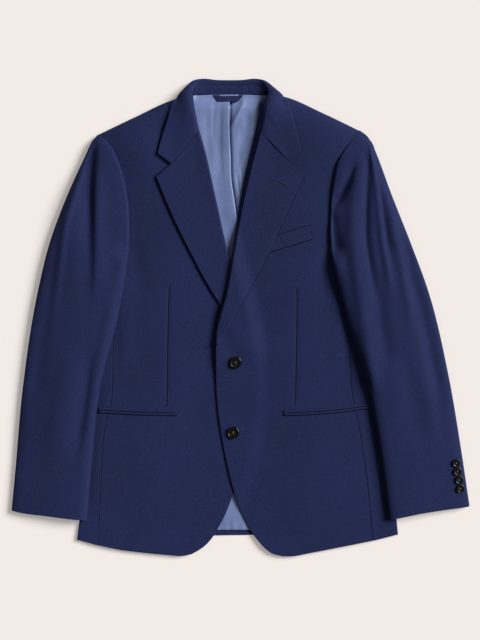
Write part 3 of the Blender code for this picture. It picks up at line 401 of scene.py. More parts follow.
OUTLINES: dict[Side, Outline] = {
    Side.RIGHT: Outline(
        shoulder=((-238, 310), (-179, 338), (-117, 366.5), (-86, 375)),
        armhole=((-238, 310), (-222, 295), (-207, 267), (-196, 235), (-190, 202), (-187, 145)),
        armhole_foot=((-187, 145), (-191, 122), (-203, 105), (-216, 94)),
        side_seam=(
            (-216, 94), (-214, 38), (-216, -72), (-220, -149), (-228, -180), (-237, -293), (-241, -386),
        ),
        side_fold=((-266, 94), (-254, -13), (-248, -89), (-252, -157), (-267, -293), (-277, -377)),
        back_armhole=(
            (-238, 310), (-227, 276), (-220, 234), (-223, 191), (-233, 149), (-245, 115), (-253, 94),
        ),
        hem=((-241, -386), (-204, -393.5), (-164, -398.5), (-123, -402.5), (-96, -404), (-82, -401)),
        front_edge=(
            (15, -47), (20, -89), (20, -140), (7, -234), (-11, -295), (-36, -354), (-55, -382),
            (-68, -393), (-82, -401),
        ),
        roll=((-81, 376), (-75, 336), (-60, 281), (-43, 205), (-17, 88), (0, 21), (15, -47)),
        lapel_edge=((-141.5, 238.5), (-119, 183), (-85, 113), (-51, 50), (-32, 20), (11, -40)),
        gorge=((-70, 315), (-116.5, 259.5), (-141.5, 238.5)),
        sleeve_inner=(
            (-187, 145), (-189, 110), (-194, 74), (-207, 2), (-237, -115), (-251.5, -242), (-260, -342.5),
        ),
        sleeve_outer=(
            (-241, 309), (-250, 298), (-260, 277), (-292, 207), (-322.5, 125), (-342.5, 43),
            (-368, -120), (-381, -263), (-387, -326),
        ),
        cuff=((-387, -327), (-373, -330), (-327, -335.5), (-286, -340.5), (-260, -343)),
        pocket=((-239, -157), (-187, -160), (-107, -162)),
        dart=((-118, 62), (-120, 47), (-122, -4), (-123, -55), (-124, -149)),
    ),
    Side.LEFT: Outline(
        shoulder=((199, 317), (141, 344.8), (80, 371.5), (50, 378)),
        armhole=((199, 317), (188, 300), (174, 281), (162, 258), (157, 234), (153, 207), (151, 145)),
        armhole_foot=((151, 145), (155, 122), (166, 105), (180, 94)),
        side_seam=((180, 94), (181, 38), (185, -55), (192, -144), (199, -175), (210, -242), (225, -378)),
        side_fold=((258, 98), (246, -13), (239, -89), (244, -157), (260, -293), (268, -368)),
        back_armhole=((199, 317), (187, 280), (180, 234), (183, 191), (195, 149), (222, 118), (245, 98)),
        hem=((225, -378), (170, -389), (119, -399), (85, -405), (73, -405)),
        front_edge=(
            (-41, -57), (-39, -140), (-25, -234), (-13, -285), (3, -331), (30, -378), (42, -391),
            (54, -400), (73, -405),
        ),
        roll=((46, 376), (33, 314), (17, 251), (3, 186), (-12, 101), (-23, 40), (-39, -21), (-41, -57)),
        lapel_edge=((107, 241), (90, 203), (68, 156), (37, 89), (5, 30), (-23, -21), (-35, -45)),
        gorge=((33, 314), (81, 264), (107, 241)),
        sleeve_inner=((151, 145), (153, 110), (170, 38), (195, -47), (212, -98), (234, -208), (253, -341)),
        sleeve_outer=(
            (203, 316), (214, 307), (222, 296), (230, 277), (256, 207), (288.5, 125), (318.5, 43),
            (352.5, -99), (373.5, -222), (388, -319),
        ),
        cuff=((388, -320), (340, -326), (306, -331), (272, -338), (253, -342)),
        pocket=((74, -162), (150, -158), (218, -150)),
        dart=((96, 55), (96, 30), (95.5, -38), (94, -106), (93, -149)),
    ),
}


@dataclass(frozen=True)
class Swell:
    """A soft round rise of the cloth."""

    x: float
    y: float
    reach_x: float
    reach_y: float
    rise: float

    def height(self, places: Array) -> Array:
        """Its height at each place: the bell curve exp(-(dx / reach)^2 - (dy / reach)^2)."""
        across, down = (places[..., 0] - self.x) / self.reach_x, (places[..., 1] - self.y) / self.reach_y
        return self.rise * np.exp(-(across**2) - down**2)


@dataclass(frozen=True)
class Ramp:
    """A smooth step up at the edge of what lies underneath, which starts a way outside that edge."""

    outside: float
    length: float
    rise: float = 1.0

    def height(self, depth: Array) -> Array:
        """Its height at each depth inside the edge."""
        return self.rise * smoothstep((depth + self.outside) / self.length)


@dataclass(frozen=True)
class Crease:
    """A trough (negative rise) or ridge along a line that runs down the cloth.

    Its section is the bell curve exp(-(d / reach)^2), with its own reach towards +X and -X, and
    it fades in and out over a share of its length at each end, the same unless fade_end is given.
    """

    path: Line
    plus_x: float
    minus_x: float
    rise: float
    fade: float = 0.3
    fade_end: float = 0.0

    def height(self, places: Array) -> Array:
        """Its height at each place.

        Args:
            places: Points whose x and y are read.

        Returns:
            The heights, 0 far from the line.
        """
        distance, sign, share = along_line(places, plain(self.path))
        reach = np.where(sign > 0, self.plus_x, self.minus_x)
        ends = smoothstep(share / self.fade) * smoothstep((1 - share) / (self.fade_end or self.fade))
        return self.rise * np.exp(-((distance / reach) ** 2)) * ends


@dataclass(frozen=True)
class Lie:
    """How the layers of the blazer lie on the table: the heights of their middle surfaces."""

    wool: float = 1.8
    lining: float = 1.0
    lapel: float = 2.0
    layer_gap: float = 0.5
    slack: float = 0.3
    front_base: float = 5.2
    shoulder_roll: float = 17.0
    edge_rise: float = 0.5
    hem_lift: float = 5.6
    edge_drop: float = 1.3
    collar_lift: float = 2.9
    lapel_rise: float = 3.9
    roll_gain: float = 6.6
    roll_reach: float = 30.0
    roll_from_y: float = 100.0
    roll_ramp: float = 250.0
    hem_start: float = 2.0
    hem_ramp: float = 18.0
    centre_x: float = -18.5
    neck_from_y: float = 270.0
    neck_ramp: float = 75.0
    neck_half: float = 170.0
    neck_side_ramp: float = 55.0
    over_front: Ramp = Ramp(outside=32, length=30, rise=2.8)
    over_lapel: Ramp = Ramp(outside=36, length=34, rise=4.3)
    over_body: Ramp = Ramp(outside=48, length=34)
    sleeve_leaves_y: float = 140.0
    sleeve_lies_y: float = 104.0
    spring: Swell = Swell(x=-44, y=-56, reach_x=45, reach_y=34, rise=5.0)
    back_hem: Line = ((-277, -375), (-153, -372), (-14, -369), (153, -368), (268, -366))
    swells: tuple[Swell, ...] = (
        Swell(x=-120, y=190, reach_x=90, reach_y=120, rise=9),
        Swell(x=88, y=190, reach_x=90, reach_y=120, rise=9),
        Swell(x=-180, y=300, reach_x=70, reach_y=62, rise=12),
        Swell(x=145, y=304, reach_x=70, reach_y=62, rise=12),
        Swell(x=-92, y=362, reach_x=44, reach_y=60, rise=10),
        Swell(x=58, y=364, reach_x=44, reach_y=60, rise=10),
        Swell(x=-125, y=-60, reach_x=85, reach_y=130, rise=4),
        Swell(x=100, y=-60, reach_x=85, reach_y=130, rise=4),
        Swell(x=-150, y=-260, reach_x=70, reach_y=90, rise=3),
        Swell(x=130, y=-260, reach_x=70, reach_y=90, rise=3),
    )

    @property
    def floor(self) -> float:
        """Middle surface of wool that lies on the table."""
        return self.wool / 2

    @property
    def on_wool(self) -> float:
        """Rise from the middle of one layer of wool to the middle of the next, with some slack."""
        return self.between(self.wool, self.wool) + self.slack

    def between(self, below: float, above: float) -> float:
        """Rise from the middle of one layer to the middle of the next, by their thicknesses."""
        return below / 2 + self.layer_gap + above / 2

    def collar_rise(self, places: Array) -> Array:
        """How far the collar's fall, tucked under the back, raises the cloth at the neck.

        Args:
            places: Points whose x and y are read.

        Returns:
            The rise at each place.
        """
        aside = np.abs(places[..., 0] - self.centre_x)
        down = smoothstep((places[..., 1] - self.neck_from_y) / self.neck_ramp)
        return self.collar_lift * down * smoothstep((self.neck_half - aside) / self.neck_side_ramp)

    def front(self, places: Array) -> Array:
        """A front that lies on the back: its base height plus the swells, down to the table at the hem.

        Args:
            places: Points whose x and y are read.

        Returns:
            The middle heights.
        """
        x, y = places[..., 0], places[..., 1]
        height = np.full(x.shape, self.front_base)
        for swell in self.swells:
            height += swell.height(places)
        hem = plain(self.back_hem)
        past_hem = np.interp(x, hem[:, 0], hem[:, 1]) - y
        falls = smoothstep((past_hem - self.hem_start) / self.hem_ramp)
        return height + (self.floor + self.hem_lift - height) * falls

    def rounded(self, places: Array, height: Array, upper: bool) -> Array:
        """Height of the upper or the lower cloth where the edge of the shoulder rounds over.

        Args:
            places: Points whose x and y are read.
            height: Height of the upper cloth away from the edge.
            upper: Whether the upper cloth is meant.

        Returns:
            The middle heights.
        """
        low = self.floor + self.collar_rise(places)
        middle = (height + low) / 2
        lines = [plain(OUTLINES[side].shoulder) for side in Side]
        gap = np.minimum(distance_to(places, lines[0]), distance_to(places, lines[1]))
        share = quarter_round(gap, self.shoulder_roll)
        if upper:
            return middle + self.edge_rise * (1 - share) + (height - middle) * share
        return low + (middle - self.edge_drop - low) * (1 - share**2)

    def back(self, places: Array) -> Array:
        """The back: flat on the table, and curling up at the shoulders."""
        return self.rounded(places, self.front(places), upper=False)

    def body(self, places: Array, side: Side) -> Array:
        """A front before its shoulder is rounded. The left one rises over the right front and lapel.

        Args:
            places: Points whose x and y are read.
            side: The wearer's side.

        Returns:
            The middle heights.
        """
        height = self.front(places)
        if side is Side.RIGHT:
            return height
        under = OUTLINES[Side.RIGHT]
        over_front = self.over_front.height(depth_inside(places, under.front_ring()))
        over_lapel = self.over_lapel.height(depth_inside(places, under.lapel_ring()))
        return height + over_front + over_lapel + self.spring.height(places)

    def upper(self, places: Array, side: Side) -> Array:
        """A front with its shoulder rounded."""
        return self.rounded(places, self.body(places, side), upper=True)

    def rise_at_roll(self, y: Array | float) -> Array:
        """Rise of the lapel over its front at the roll line, more towards the collar."""
        up = (np.asarray(y, float) - self.roll_from_y) / self.roll_ramp
        return self.lapel_rise + self.roll_gain * smoothstep(up)

    def roll_rise(self, places: Array, side: Side) -> Array:
        """Rise of a lapel over its front: it falls off past the fold by exp(-d / reach).

        Args:
            places: Points whose x and y are read.
            side: The wearer's side.

        Returns:
            The rise at each place.
        """
        gained = self.rise_at_roll(places[..., 1]) - self.lapel_rise
        away = distance_to(places, plain(OUTLINES[side].roll)) - self.fold_radius(places[..., 1])
        return self.lapel_rise + gained * np.exp(-np.maximum(away, 0.0) / self.roll_reach)

    def fold_radius(self, y: Array | float) -> Array:
        """Radius of the lapel's fold at the roll line."""
        return self.rise_at_roll(y) / 2

    def bed(self, places: Array, side: Side) -> Array:
        """Middle height of a sleeve's cloth lying on the table, or on the body where that is under it.

        Args:
            places: Points whose x and y are read.
            side: The wearer's side.

        Returns:
            The middle heights.
        """
        depth = depth_inside(places, OUTLINES[side].body_ring(self.centre_x))
        reached = falling(places[..., 1], self.sleeve_leaves_y, self.sleeve_lies_y)
        over = self.over_body.height(depth) * reached
        return self.floor + over * (self.front(places) + self.on_wool - self.floor)


# ---- Meshes ----


def surface_normals(grid: Array) -> Array:
    """Unit normals of a grid: the cross product of its differences along rows and down columns."""
    normal = np.cross(np.gradient(grid, axis=1), np.gradient(grid, axis=0))
    return -normal / np.maximum(np.linalg.norm(normal, axis=-1, keepdims=True), 1e-12)


def cloth_lengths(grid: Array) -> Array:
    """Lengths on the cloth at each point, from its middle row and column, for a weave to follow.

    Args:
        grid: Points in rows and columns.

    Returns:
        The length across and the length down at each point.
    """
    across = np.cumsum(np.linalg.norm(np.diff(grid, axis=1, prepend=grid[:, :1]), axis=-1), axis=1)
    down = np.cumsum(np.linalg.norm(np.diff(grid, axis=0, prepend=grid[:1]), axis=-1), axis=0)
    across -= across[:, across.shape[1] // 2][:, None]
    middle = down[:, down.shape[1] // 2][:, None]
    return np.stack([across, np.broadcast_to(-middle, across.shape)], axis=-1)


def build_mesh(
    name: str,
    points: Array,
    faces: Array,
    uv: Optional[Array] = None,
    masks: Optional[dict[str, Array]] = None,
) -> bpy.types.Mesh:
    """Mesh from arrays.

    Args:
        name: The mesh's name.
        points: Points in millimetres.
        faces: Indices of each face's corners.
        uv: A texture coordinate for each point.
        masks: Values for each point, by the attribute's name.

    Returns:
        The mesh, smooth shaded.
    """
    mesh = bpy.data.meshes.new(name)
    mesh.from_pydata((points * MM).tolist(), [], faces.tolist())
    corners = np.zeros(len(mesh.loops), np.int32)
    mesh.loops.foreach_get("vertex_index", corners)
    if uv is not None:
        layer = mesh.uv_layers.new(name="cloth")
        layer.data.foreach_set("uv", uv[corners].astype(np.float32).ravel())
    for label, values in (masks or {}).items():
        attribute = mesh.attributes.new(label, "FLOAT", "POINT")
        attribute.data.foreach_set("value", values.astype(np.float32).ravel())
    mesh.shade_smooth()
    return mesh


def add_object(name: str, data: bpy.types.ID) -> bpy.types.Object:
    """New object in the scene.

    Args:
        name: Its name.
        data: Its mesh, light or camera.

    Returns:
        The object.
    """
    made = bpy.data.objects.new(name, data)
    bpy.context.scene.collection.objects.link(made)
    return made


def place(name: str, mesh: bpy.types.Mesh, finish: Finish, nodes: Sequence[str] = ()) -> bpy.types.Object:
    """Object of a piece, riding on the blazer.

    Args:
        name: The piece's name.
        mesh: Its mesh, in the frame's own place.
        finish: Its material and slot.
        nodes: CAD nodes that it stands for.

    Returns:
        The object.
    """
    mesh.materials.append(finish.material)
    piece = add_object(name, mesh)
    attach(piece, BODY)
    if nodes:
        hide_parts(*nodes)
    log.info("%s: %d points", name, len(mesh.vertices))
    return piece


def shell(
    name: str,
    grid: Array,
    thickness: float,
    masks: Optional[dict[str, Array]] = None,
    edge_steps: int = 4,
) -> bpy.types.Mesh:
    """Closed shell of cloth about a grid of middle points, with half-round edges.

    The two faces are the grid moved out by half the thickness each way along its normals. The
    edge is a half circle about each boundary point, from one face to the other by way of the
    direction that points out of the cloth.

    Args:
        name: The mesh's name.
        grid: Middle points in rows and columns.
        thickness: The cloth's thickness.
        masks: Values at each point of the grid, by the attribute's name.
        edge_steps: Steps of the half circle.

    Returns:
        The mesh.
    """
    rows, columns = grid.shape[:2]
    half = thickness / 2
    normal = surface_normals(grid)
    index = np.arange(rows * columns).reshape(rows, columns)
    loop = np.concatenate([index[0, :-1], index[:-1, -1], index[-1, :0:-1], index[:0:-1, 0]])
    outward = np.zeros_like(grid)
    outward[0] += grid[0] - grid[1]
    outward[-1] += grid[-1] - grid[-2]
    outward[:, 0] += grid[:, 0] - grid[:, 1]
    outward[:, -1] += grid[:, -1] - grid[:, -2]
    flat_normal = normal.reshape(-1, 3)
    out = outward.reshape(-1, 3)[loop]
    out -= (out * flat_normal[loop]).sum(axis=1, keepdims=True) * flat_normal[loop]
    out /= np.maximum(np.linalg.norm(out, axis=1, keepdims=True), 1e-9)
    middle = grid.reshape(-1, 3)
    count = len(middle)
    layers = [middle + flat_normal * half, middle - flat_normal * half]
    rings = [loop]
    for step in range(1, edge_steps):
        angle = math.pi * step / edge_steps
        layers.append(middle[loop] + half * (math.cos(angle) * flat_normal[loop] + math.sin(angle) * out))
        rings.append(2 * count + (step - 1) * len(loop) + np.arange(len(loop)))
    rings.append(loop + count)
    quads = np.stack([index[:-1, :-1], index[1:, :-1], index[1:, 1:], index[:-1, 1:]], axis=-1).reshape(-1, 4)
    faces = [quads, quads[:, ::-1] + count]
    for near, far in zip(rings[:-1], rings[1:]):
        faces.append(np.stack([near, np.roll(near, -1), np.roll(far, -1), far], axis=1))
    source = np.concatenate([np.arange(count), np.arange(count)] + [loop] * (edge_steps - 1))
    uv = cloth_lengths(grid).reshape(-1, 2)[source]
    spread = {label: values.reshape(-1)[source] for label, values in (masks or {}).items()}
    return build_mesh(name, np.vstack(layers), np.vstack(faces), uv, spread)


@dataclass(frozen=True)
class Cut:
    """How a piece was cut flat: width and length in metres, area in square metres, and what it lies on."""

    width: float
    length: float
    area: float
    rests_on: tuple[str, ...]


def lay_cloth(
    node: str,
    grid: Array,
    thickness: float,
    finish: Finish,
    masks: Optional[dict[str, Array]] = None,
) -> bpy.types.Object:
    """Piece of cloth that stands for a node: a shell about its grid.

    Args:
        node: The node's name.
        grid: Middle points in rows and columns.
        thickness: The cloth's thickness.
        finish: Its material and slot.
        masks: Values at each point of the grid, by the attribute's name.

    Returns:
        The object.
    """
    name = f"{node}_cloth"
    piece = place(name, shell(name, grid, thickness, masks), finish, [node])
    return piece


# ---- Finishes ----


class Graph:
    """A node tree under construction."""
    def __init__(self, tree: bpy.types.NodeTree) -> None:
        """Works on one node tree."""
        self.tree = tree

    def add(self, kind: str, **settings: object) -> bpy.types.Node:
        """New node with some of its settings.

        Args:
            kind: Its type.
            settings: Values of its own settings.

        Returns:
            The node.
        """
        node = self.tree.nodes.new(kind)
        for name, value in settings.items():
            setattr(node, name, value)
        return node

    def feed(self, socket: bpy.types.NodeSocket, value: object) -> None:
        """Links a socket to another one, or sets its value.

        Args:
            socket: The socket.
            value: A socket, or a value.
        """
        if isinstance(value, bpy.types.NodeSocket):
            self.tree.links.new(value, socket)
        else:
            socket.default_value = value

    def math(self, operation: str, *values: object) -> bpy.types.NodeSocket:
        """Result of a math node on sockets or numbers.

        Args:
            operation: What it works out.
            values: Its inputs, in order.

        Returns:
            Its output socket.
        """
        node = self.add("ShaderNodeMath", operation=operation)
        for socket, value in zip(node.inputs, values):
            self.feed(socket, value)
        return node.outputs[0]

    def mix(self, share: object, first: object, second: object) -> bpy.types.NodeSocket:
        """Mix of two colours.

        Args:
            share: The share of the second.
            first: A colour.
            second: Another.

        Returns:
            Its output socket.
        """
        node = self.add("ShaderNodeMix", data_type="RGBA")
        self.feed(node.inputs["Factor"], share)
        self.feed(node.inputs[6], first)
        self.feed(node.inputs[7], second)
        return node.outputs[2]

    def scaled(self, value: object, factor: object, added: object = 0.0) -> bpy.types.NodeSocket:
        """A value times a factor, plus another value."""
        return self.math("MULTIPLY_ADD", value, factor, added)

    def attribute(self, name: str) -> bpy.types.NodeSocket:
        """Value of a point attribute."""
        return self.add("ShaderNodeAttribute", attribute_name=name).outputs["Fac"]

    def bump(self, shader: bpy.types.Node, height: bpy.types.NodeSocket) -> None:
        """Bumps a shader's normal.

        Args:
            shader: The shader.
            height: The height, in millimetres.
        """
        node = self.add("ShaderNodeBump")
        node.inputs["Distance"].default_value = MM
        self.feed(node.inputs["Height"], height)
        self.feed(shader.inputs["Normal"], node.outputs["Normal"])

    def effect(self, group: bpy.types.NodeTree, **values: object) -> bpy.types.Node:
        """Node of a shader group, with the values of its inputs.

        Args:
            group: The group.
            values: Sockets or numbers, by the input's name.

        Returns:
            The node.
        """
        node = self.add("ShaderNodeGroup", node_tree=group)
        for name, value in values.items():
            self.feed(node.inputs[name.replace("_", " ")], value)
        return node


def new_group(
    name: str, inputs: Sequence[str], outputs: Sequence[str]
) -> tuple[Graph, bpy.types.Node, bpy.types.Node]:
    """Empty shader group with number sockets.

    Args:
        name: The group's name.
        inputs: Names of its inputs.
        outputs: Names of its outputs.

    Returns:
        Its graph, its input node and its output node.
    """
    tree = bpy.data.node_groups.new(name, "ShaderNodeTree")
    for direction, labels in (("INPUT", inputs), ("OUTPUT", outputs)):
        for label in labels:
            tree.interface.new_socket(name=label, in_out=direction, socket_type="NodeSocketFloat")
    graph = Graph(tree)
    return graph, graph.add("NodeGroupInput"), graph.add("NodeGroupOutput")


THREAD_SHARE = 0.45


def weave_group() -> bpy.types.NodeTree:
    """Weave on the cloth's own lengths: sine ribs at a slant, crossed by finer sine threads.

    Returns:
        The group's tree.
    """
    graph, source, sink = new_group("weave", ("Rib", "Slant", "Thread"), ("Height",))
    lengths = graph.add("ShaderNodeUVMap", uv_map="cloth").outputs["UV"]
    split = graph.add("ShaderNodeSeparateXYZ")
    graph.feed(split.inputs[0], lengths)
    across, down = split.outputs[0], split.outputs[1]
    slanted = graph.scaled(down, source.outputs["Slant"], across)
    waves = []
    for length, period in ((slanted, "Rib"), (down, "Thread")):
        turns = graph.math("DIVIDE", length, source.outputs[period])
        waves.append(graph.math("SINE", graph.math("MULTIPLY", turns, math.tau)))
    graph.feed(sink.inputs["Height"], graph.scaled(waves[1], THREAD_SHARE, waves[0]))
    return graph.tree


def drift_group() -> bpy.types.NodeTree:
    """Uneven tone of cloth and horn: broad noise and fine noise, both about 0.5.

    Returns:
        The group's tree.
    """
    graph, source, sink = new_group("drift", ("Broad", "Fine"), ("Broad", "Fine"))
    place_in = graph.add("ShaderNodeTexCoord").outputs["Object"]
    for label in ("Broad", "Fine"):
        noise = graph.add("ShaderNodeTexNoise")
        noise.inputs["Detail"].default_value = 3.0
        graph.feed(noise.inputs["Vector"], place_in)
        graph.feed(noise.inputs["Scale"], source.outputs[label])
        graph.feed(sink.inputs[label], noise.outputs["Fac"])
    return graph.tree


def seam_and_shade_group() -> bpy.types.NodeTree:
    """Mark of a sewn line, also used for painted shade lines: 1 on the line and 0 past its width, by a smooth
    step of the distance.

    Returns:
        The group's tree.
    """
    graph, source, sink = new_group("seam", ("Distance", "Width", "On"), ("Seam and shade mark",))
    away = graph.math("DIVIDE", graph.math("ABSOLUTE", source.outputs["Distance"]), source.outputs["Width"])
    step = graph.add("ShaderNodeMapRange", interpolation_type="SMOOTHSTEP")
    graph.feed(step.inputs["Value"], away)
    step.inputs["To Min"].default_value = 1.0
    step.inputs["To Max"].default_value = 0.0
    graph.feed(sink.inputs["Seam and shade mark"], graph.math("MULTIPLY", step.outputs["Result"], source.outputs["On"]))
    return graph.tree


@dataclass(frozen=True)
class Effects:
    """The shader groups that more than one finish uses."""

    weave: bpy.types.NodeTree
    drift: bpy.types.NodeTree
    # Marks sewn lines, and also painted shade lines.
    seam: bpy.types.NodeTree


def new_finish(name: str) -> tuple[bpy.types.Material, Graph, bpy.types.Node]:
    """New material under construction.

    Args:
        name: Its name.

    Returns:
        The material, its graph and its shader.
    """
    material = bpy.data.materials.new(name)
    material.use_nodes = True
    return material, Graph(material.node_tree), material.node_tree.nodes["Principled BSDF"]


Colour = tuple[float, float, float, float]


@dataclass(frozen=True)
class WorstedWool:
    """Matte navy worsted with a fine twill, uneven tone, darker sewn lines, and painted shade lines by raised
    edges, in pocket openings and in creases.
    """

    name: str = "worsted_wool"
    dark: Colour = (0.0085, 0.0118, 0.045, 1.0)
    light: Colour = (0.0205, 0.0285, 0.097, 1.0)
    # Colour of sewn lines, and of the painted shade lines by raised edges, in pocket openings and in creases.
    seam_and_shade_mark: Colour = (0.002, 0.0025, 0.007, 1.0)
    rib: float = 0.75
    thread: float = 0.42
    slant: float = 1.0
    contrast: float = 2.1
    sheen: float = 0.02
    seam_and_shade_width: float = 1.5
    seam_and_shade_depth: float = 0.5

    def build(self, effects: Effects) -> bpy.types.Material:
        """Makes the material.

        Args:
            effects: The shared shader groups.

        Returns:
            The material.
        """
        material, graph, shader = new_finish(self.name)
        cloth = graph.effect(effects.weave, Rib=self.rib, Slant=self.slant, Thread=self.thread)
        weave = cloth.outputs["Height"]
        drift = graph.effect(effects.drift, Broad=9.0, Fine=700.0)
        away, on = graph.attribute("seam_and_shade_away"), graph.attribute("seam_and_shade_on")
        seam_and_shade_mark = graph.effect(effects.seam, Distance=away, Width=self.seam_and_shade_width, On=on).outputs["Seam and shade mark"]
        broad, fine = drift.outputs["Broad"], drift.outputs["Fine"]
        tone = graph.scaled(graph.scaled(weave, 0.12, fine), self.contrast, graph.scaled(broad, 0.4, -0.75))
        cloth = graph.mix(tone, self.dark, self.light)
        graph.feed(shader.inputs["Base Color"], graph.mix(seam_and_shade_mark, cloth, self.seam_and_shade_mark))
        graph.feed(shader.inputs["Roughness"], graph.scaled(fine, 0.12, 0.72))
        shader.inputs["Specular IOR Level"].default_value = 0.08
        shader.inputs["Sheen Weight"].default_value = self.sheen
        shader.inputs["Sheen Roughness"].default_value = 0.5
        slubs = graph.scaled(fine, 0.06, graph.math("MULTIPLY", weave, 0.03))
        graph.bump(shader, graph.scaled(seam_and_shade_mark, -self.seam_and_shade_depth, slubs))
        return material


@dataclass(frozen=True)
class SatinLining:
    """Pale blue satin: smooth, with faint bands along the cloth and a soft gloss."""

    name: str = "satin_lining"
    dark: Colour = (0.11, 0.15, 0.305, 1.0)
    light: Colour = (0.196, 0.256, 0.485, 1.0)

    def build(self, effects: Effects) -> bpy.types.Material:
        """Makes the material.

        Args:
            effects: The shared shader groups.

        Returns:
            The material.
        """
        material, graph, shader = new_finish(self.name)
        weave = graph.effect(effects.weave, Rib=0.5, Slant=0.25, Thread=0.3).outputs["Height"]
        drift = graph.effect(effects.drift, Broad=26.0, Fine=300.0)
        broad, fine = drift.outputs["Broad"], drift.outputs["Fine"]
        shade = graph.scaled(weave, 0.05, broad)
        graph.feed(shader.inputs["Base Color"], graph.mix(shade, self.dark, self.light))
        graph.feed(shader.inputs["Roughness"], graph.scaled(fine, 0.1, 0.3))
        shader.inputs["Anisotropic"].default_value = 0.5
        graph.bump(shader, graph.scaled(broad, 0.5, graph.math("MULTIPLY", weave, 0.01)))
        return material


@dataclass(frozen=True)
class PolishedHorn:
    """Dark polished horn with paler streaks."""

    name: str = "polished_horn"
    dark: Colour = (0.002, 0.0018, 0.0018, 1.0)
    light: Colour = (0.007, 0.0055, 0.0045, 1.0)

    def build(self, effects: Effects) -> bpy.types.Material:
        """Makes the material.

        Args:
            effects: The shared shader groups.

        Returns:
            The material.
        """
        material, graph, shader = new_finish(self.name)
        drift = graph.effect(effects.drift, Broad=160.0, Fine=900.0)
        fine = drift.outputs["Fine"]
        tone = graph.scaled(fine, 0.3, drift.outputs["Broad"])
        tone = graph.math("MULTIPLY", tone, tone)
        graph.feed(shader.inputs["Base Color"], graph.mix(tone, self.dark, self.light))
        graph.feed(shader.inputs["Roughness"], graph.scaled(fine, 0.1, 0.16))
        shader.inputs["Specular IOR Level"].default_value = 0.38
        graph.bump(shader, graph.math("MULTIPLY", fine, 0.02))
        return material


@dataclass(frozen=True)
class TwistedThread:
    """Sewing thread: silky, with a fine twist."""

    name: str
    dark: Colour
    light: Colour

    def build(self, effects: Effects) -> bpy.types.Material:
        """Makes the material.

        Args:
            effects: The shared shader groups.

        Returns:
            The material.
        """
        material, graph, shader = new_finish(self.name)
        drift = graph.effect(effects.drift, Broad=700.0, Fine=2500.0)
        graph.feed(shader.inputs["Base Color"], graph.mix(drift.outputs["Broad"], self.dark, self.light))
        graph.feed(shader.inputs["Roughness"], graph.scaled(drift.outputs["Fine"], 0.2, 0.45))
        return material


@dataclass(frozen=True)
class PaleFloor:
    """Plain pale floor whose colour partly glows, a painted light that keeps its shadows pale."""

    name: str = "pale_floor"
    colour: Colour = (0.59, 0.551, 0.528, 1.0)
    # Painted glow that lightens the floor's shadows.
    glow: Colour = (1.0, 0.933, 0.896, 1.0)
    glow_strength: float = 0.3

    def build(self, effects: Effects) -> bpy.types.Material:
        """Makes the material.

        Args:
            effects: The shared shader groups.

        Returns:
            The material.
        """
        material, graph, shader = new_finish(self.name)
        drift = graph.effect(effects.drift, Broad=2.0, Fine=60.0)
        graph.feed(shader.inputs["Roughness"], graph.scaled(drift.outputs["Fine"], 0.1, 0.8))
        shader.inputs["Base Color"].default_value = self.colour
        shader.inputs["Specular IOR Level"].default_value = 0.1
        shader.inputs["Emission Color"].default_value = self.glow
        shader.inputs["Emission Strength"].default_value = self.glow_strength
        return material


@dataclass(frozen=True)
class Finishes:
    """The built finishes."""

    wool: Finish
    satin: Finish
    horn: Finish
    thread: Finish
    button_thread: Finish
    floor: bpy.types.Material

    @classmethod
    def build(cls) -> "Finishes":
        """Makes the shared effects and every material.

        Returns:
            The finishes.
        """
        effects = Effects(weave=weave_group(), drift=drift_group(), seam=seam_and_shade_group())
        pale_thread = TwistedThread(
            "button_thread", dark=(0.03, 0.034, 0.055, 1.0), light=(0.12, 0.125, 0.15, 1.0)
        )
        navy_thread = TwistedThread(
            "navy_thread", dark=(0.006, 0.008, 0.028, 1.0), light=(0.022, 0.03, 0.09, 1.0)
        )
        return cls(
            wool=Finish(WorstedWool().build(effects), Slot.WOOL),
            satin=Finish(SatinLining().build(effects), Slot.LINING),
            horn=Finish(PolishedHorn().build(effects), Slot.HORN),
            thread=Finish(navy_thread.build(effects), Slot.WOOL),
            button_thread=Finish(pale_thread.build(effects), Slot.WOOL),
            floor=PaleFloor().build(effects),
        )


# ---- Pieces of cloth ----

# Creases: path, how far each reaches to +x and to -x, rise, and the shares faded out at its ends.
LINING_CREASES = (
    Crease(((-18.0, 374), (-18.0, 310), (-16, 268), (-15, 234), (-10, 200), (-5, 166)),
           2.8, 0.5, -3.0, 0.06),
    Crease(((7, 374), (1, 357), (-8, 338), (-15, 322)), 5, 1.8, 0.9, 0.2),
    Crease(((0, 372), (-6, 360), (-12, 352)), 1.4, 1.8, -0.8),
    Crease(((4, 366), (-3, 354), (-11, 343)), 1.2, 1.6, -0.6),
    Crease(((-30, 378), (-33, 340), (-34, 290), (-30, 220)), 4, 7, -0.9),
    Crease(((-41, 379), (-45, 340), (-46, 290)), 3, 4, -0.6),
    Crease(((1, 262), (3, 235), (5, 205)), 1.6, 2.2, -1.5),
    Crease(((6, 268), (8, 240), (9, 215)), 1.6, 2.2, -1.2),
    Crease(((-5, 250), (-3, 225), (2, 195)), 1.8, 2.2, -1.0),
    Crease(((14, 356), (10, 310), (4, 275)), 5, 6, -1.2),
    Crease(((3, 330), (0, 290), (-3, 250)), 5, 5, -0.8),
    Crease(((-54, 366), (-56, 330), (-50, 250)), 5, 7, -0.7),
)

FRONT_CREASES: dict[Side, tuple[Crease, ...]] = {
    Side.RIGHT: (
        Crease(((-186, 140), (-176, 90), (-168, 30)), 16, 14, -1.6),
        Crease(((-205, 80), (-196, -20), (-196, -120)), 18, 12, 1.4),
        Crease(((-60, -20), (-70, -120), (-80, -230)), 30, 26, -0.9),
    ),
    Side.LEFT: (
        Crease(((152, 140), (144, 90), (140, 20)), 14, 16, -1.6),
        Crease(((172, 70), (166, -20), (170, -120)), 12, 18, 1.4),
        Crease(((30, -40), (34, -120), (44, -230)), 30, 26, -0.3),
    ),
}

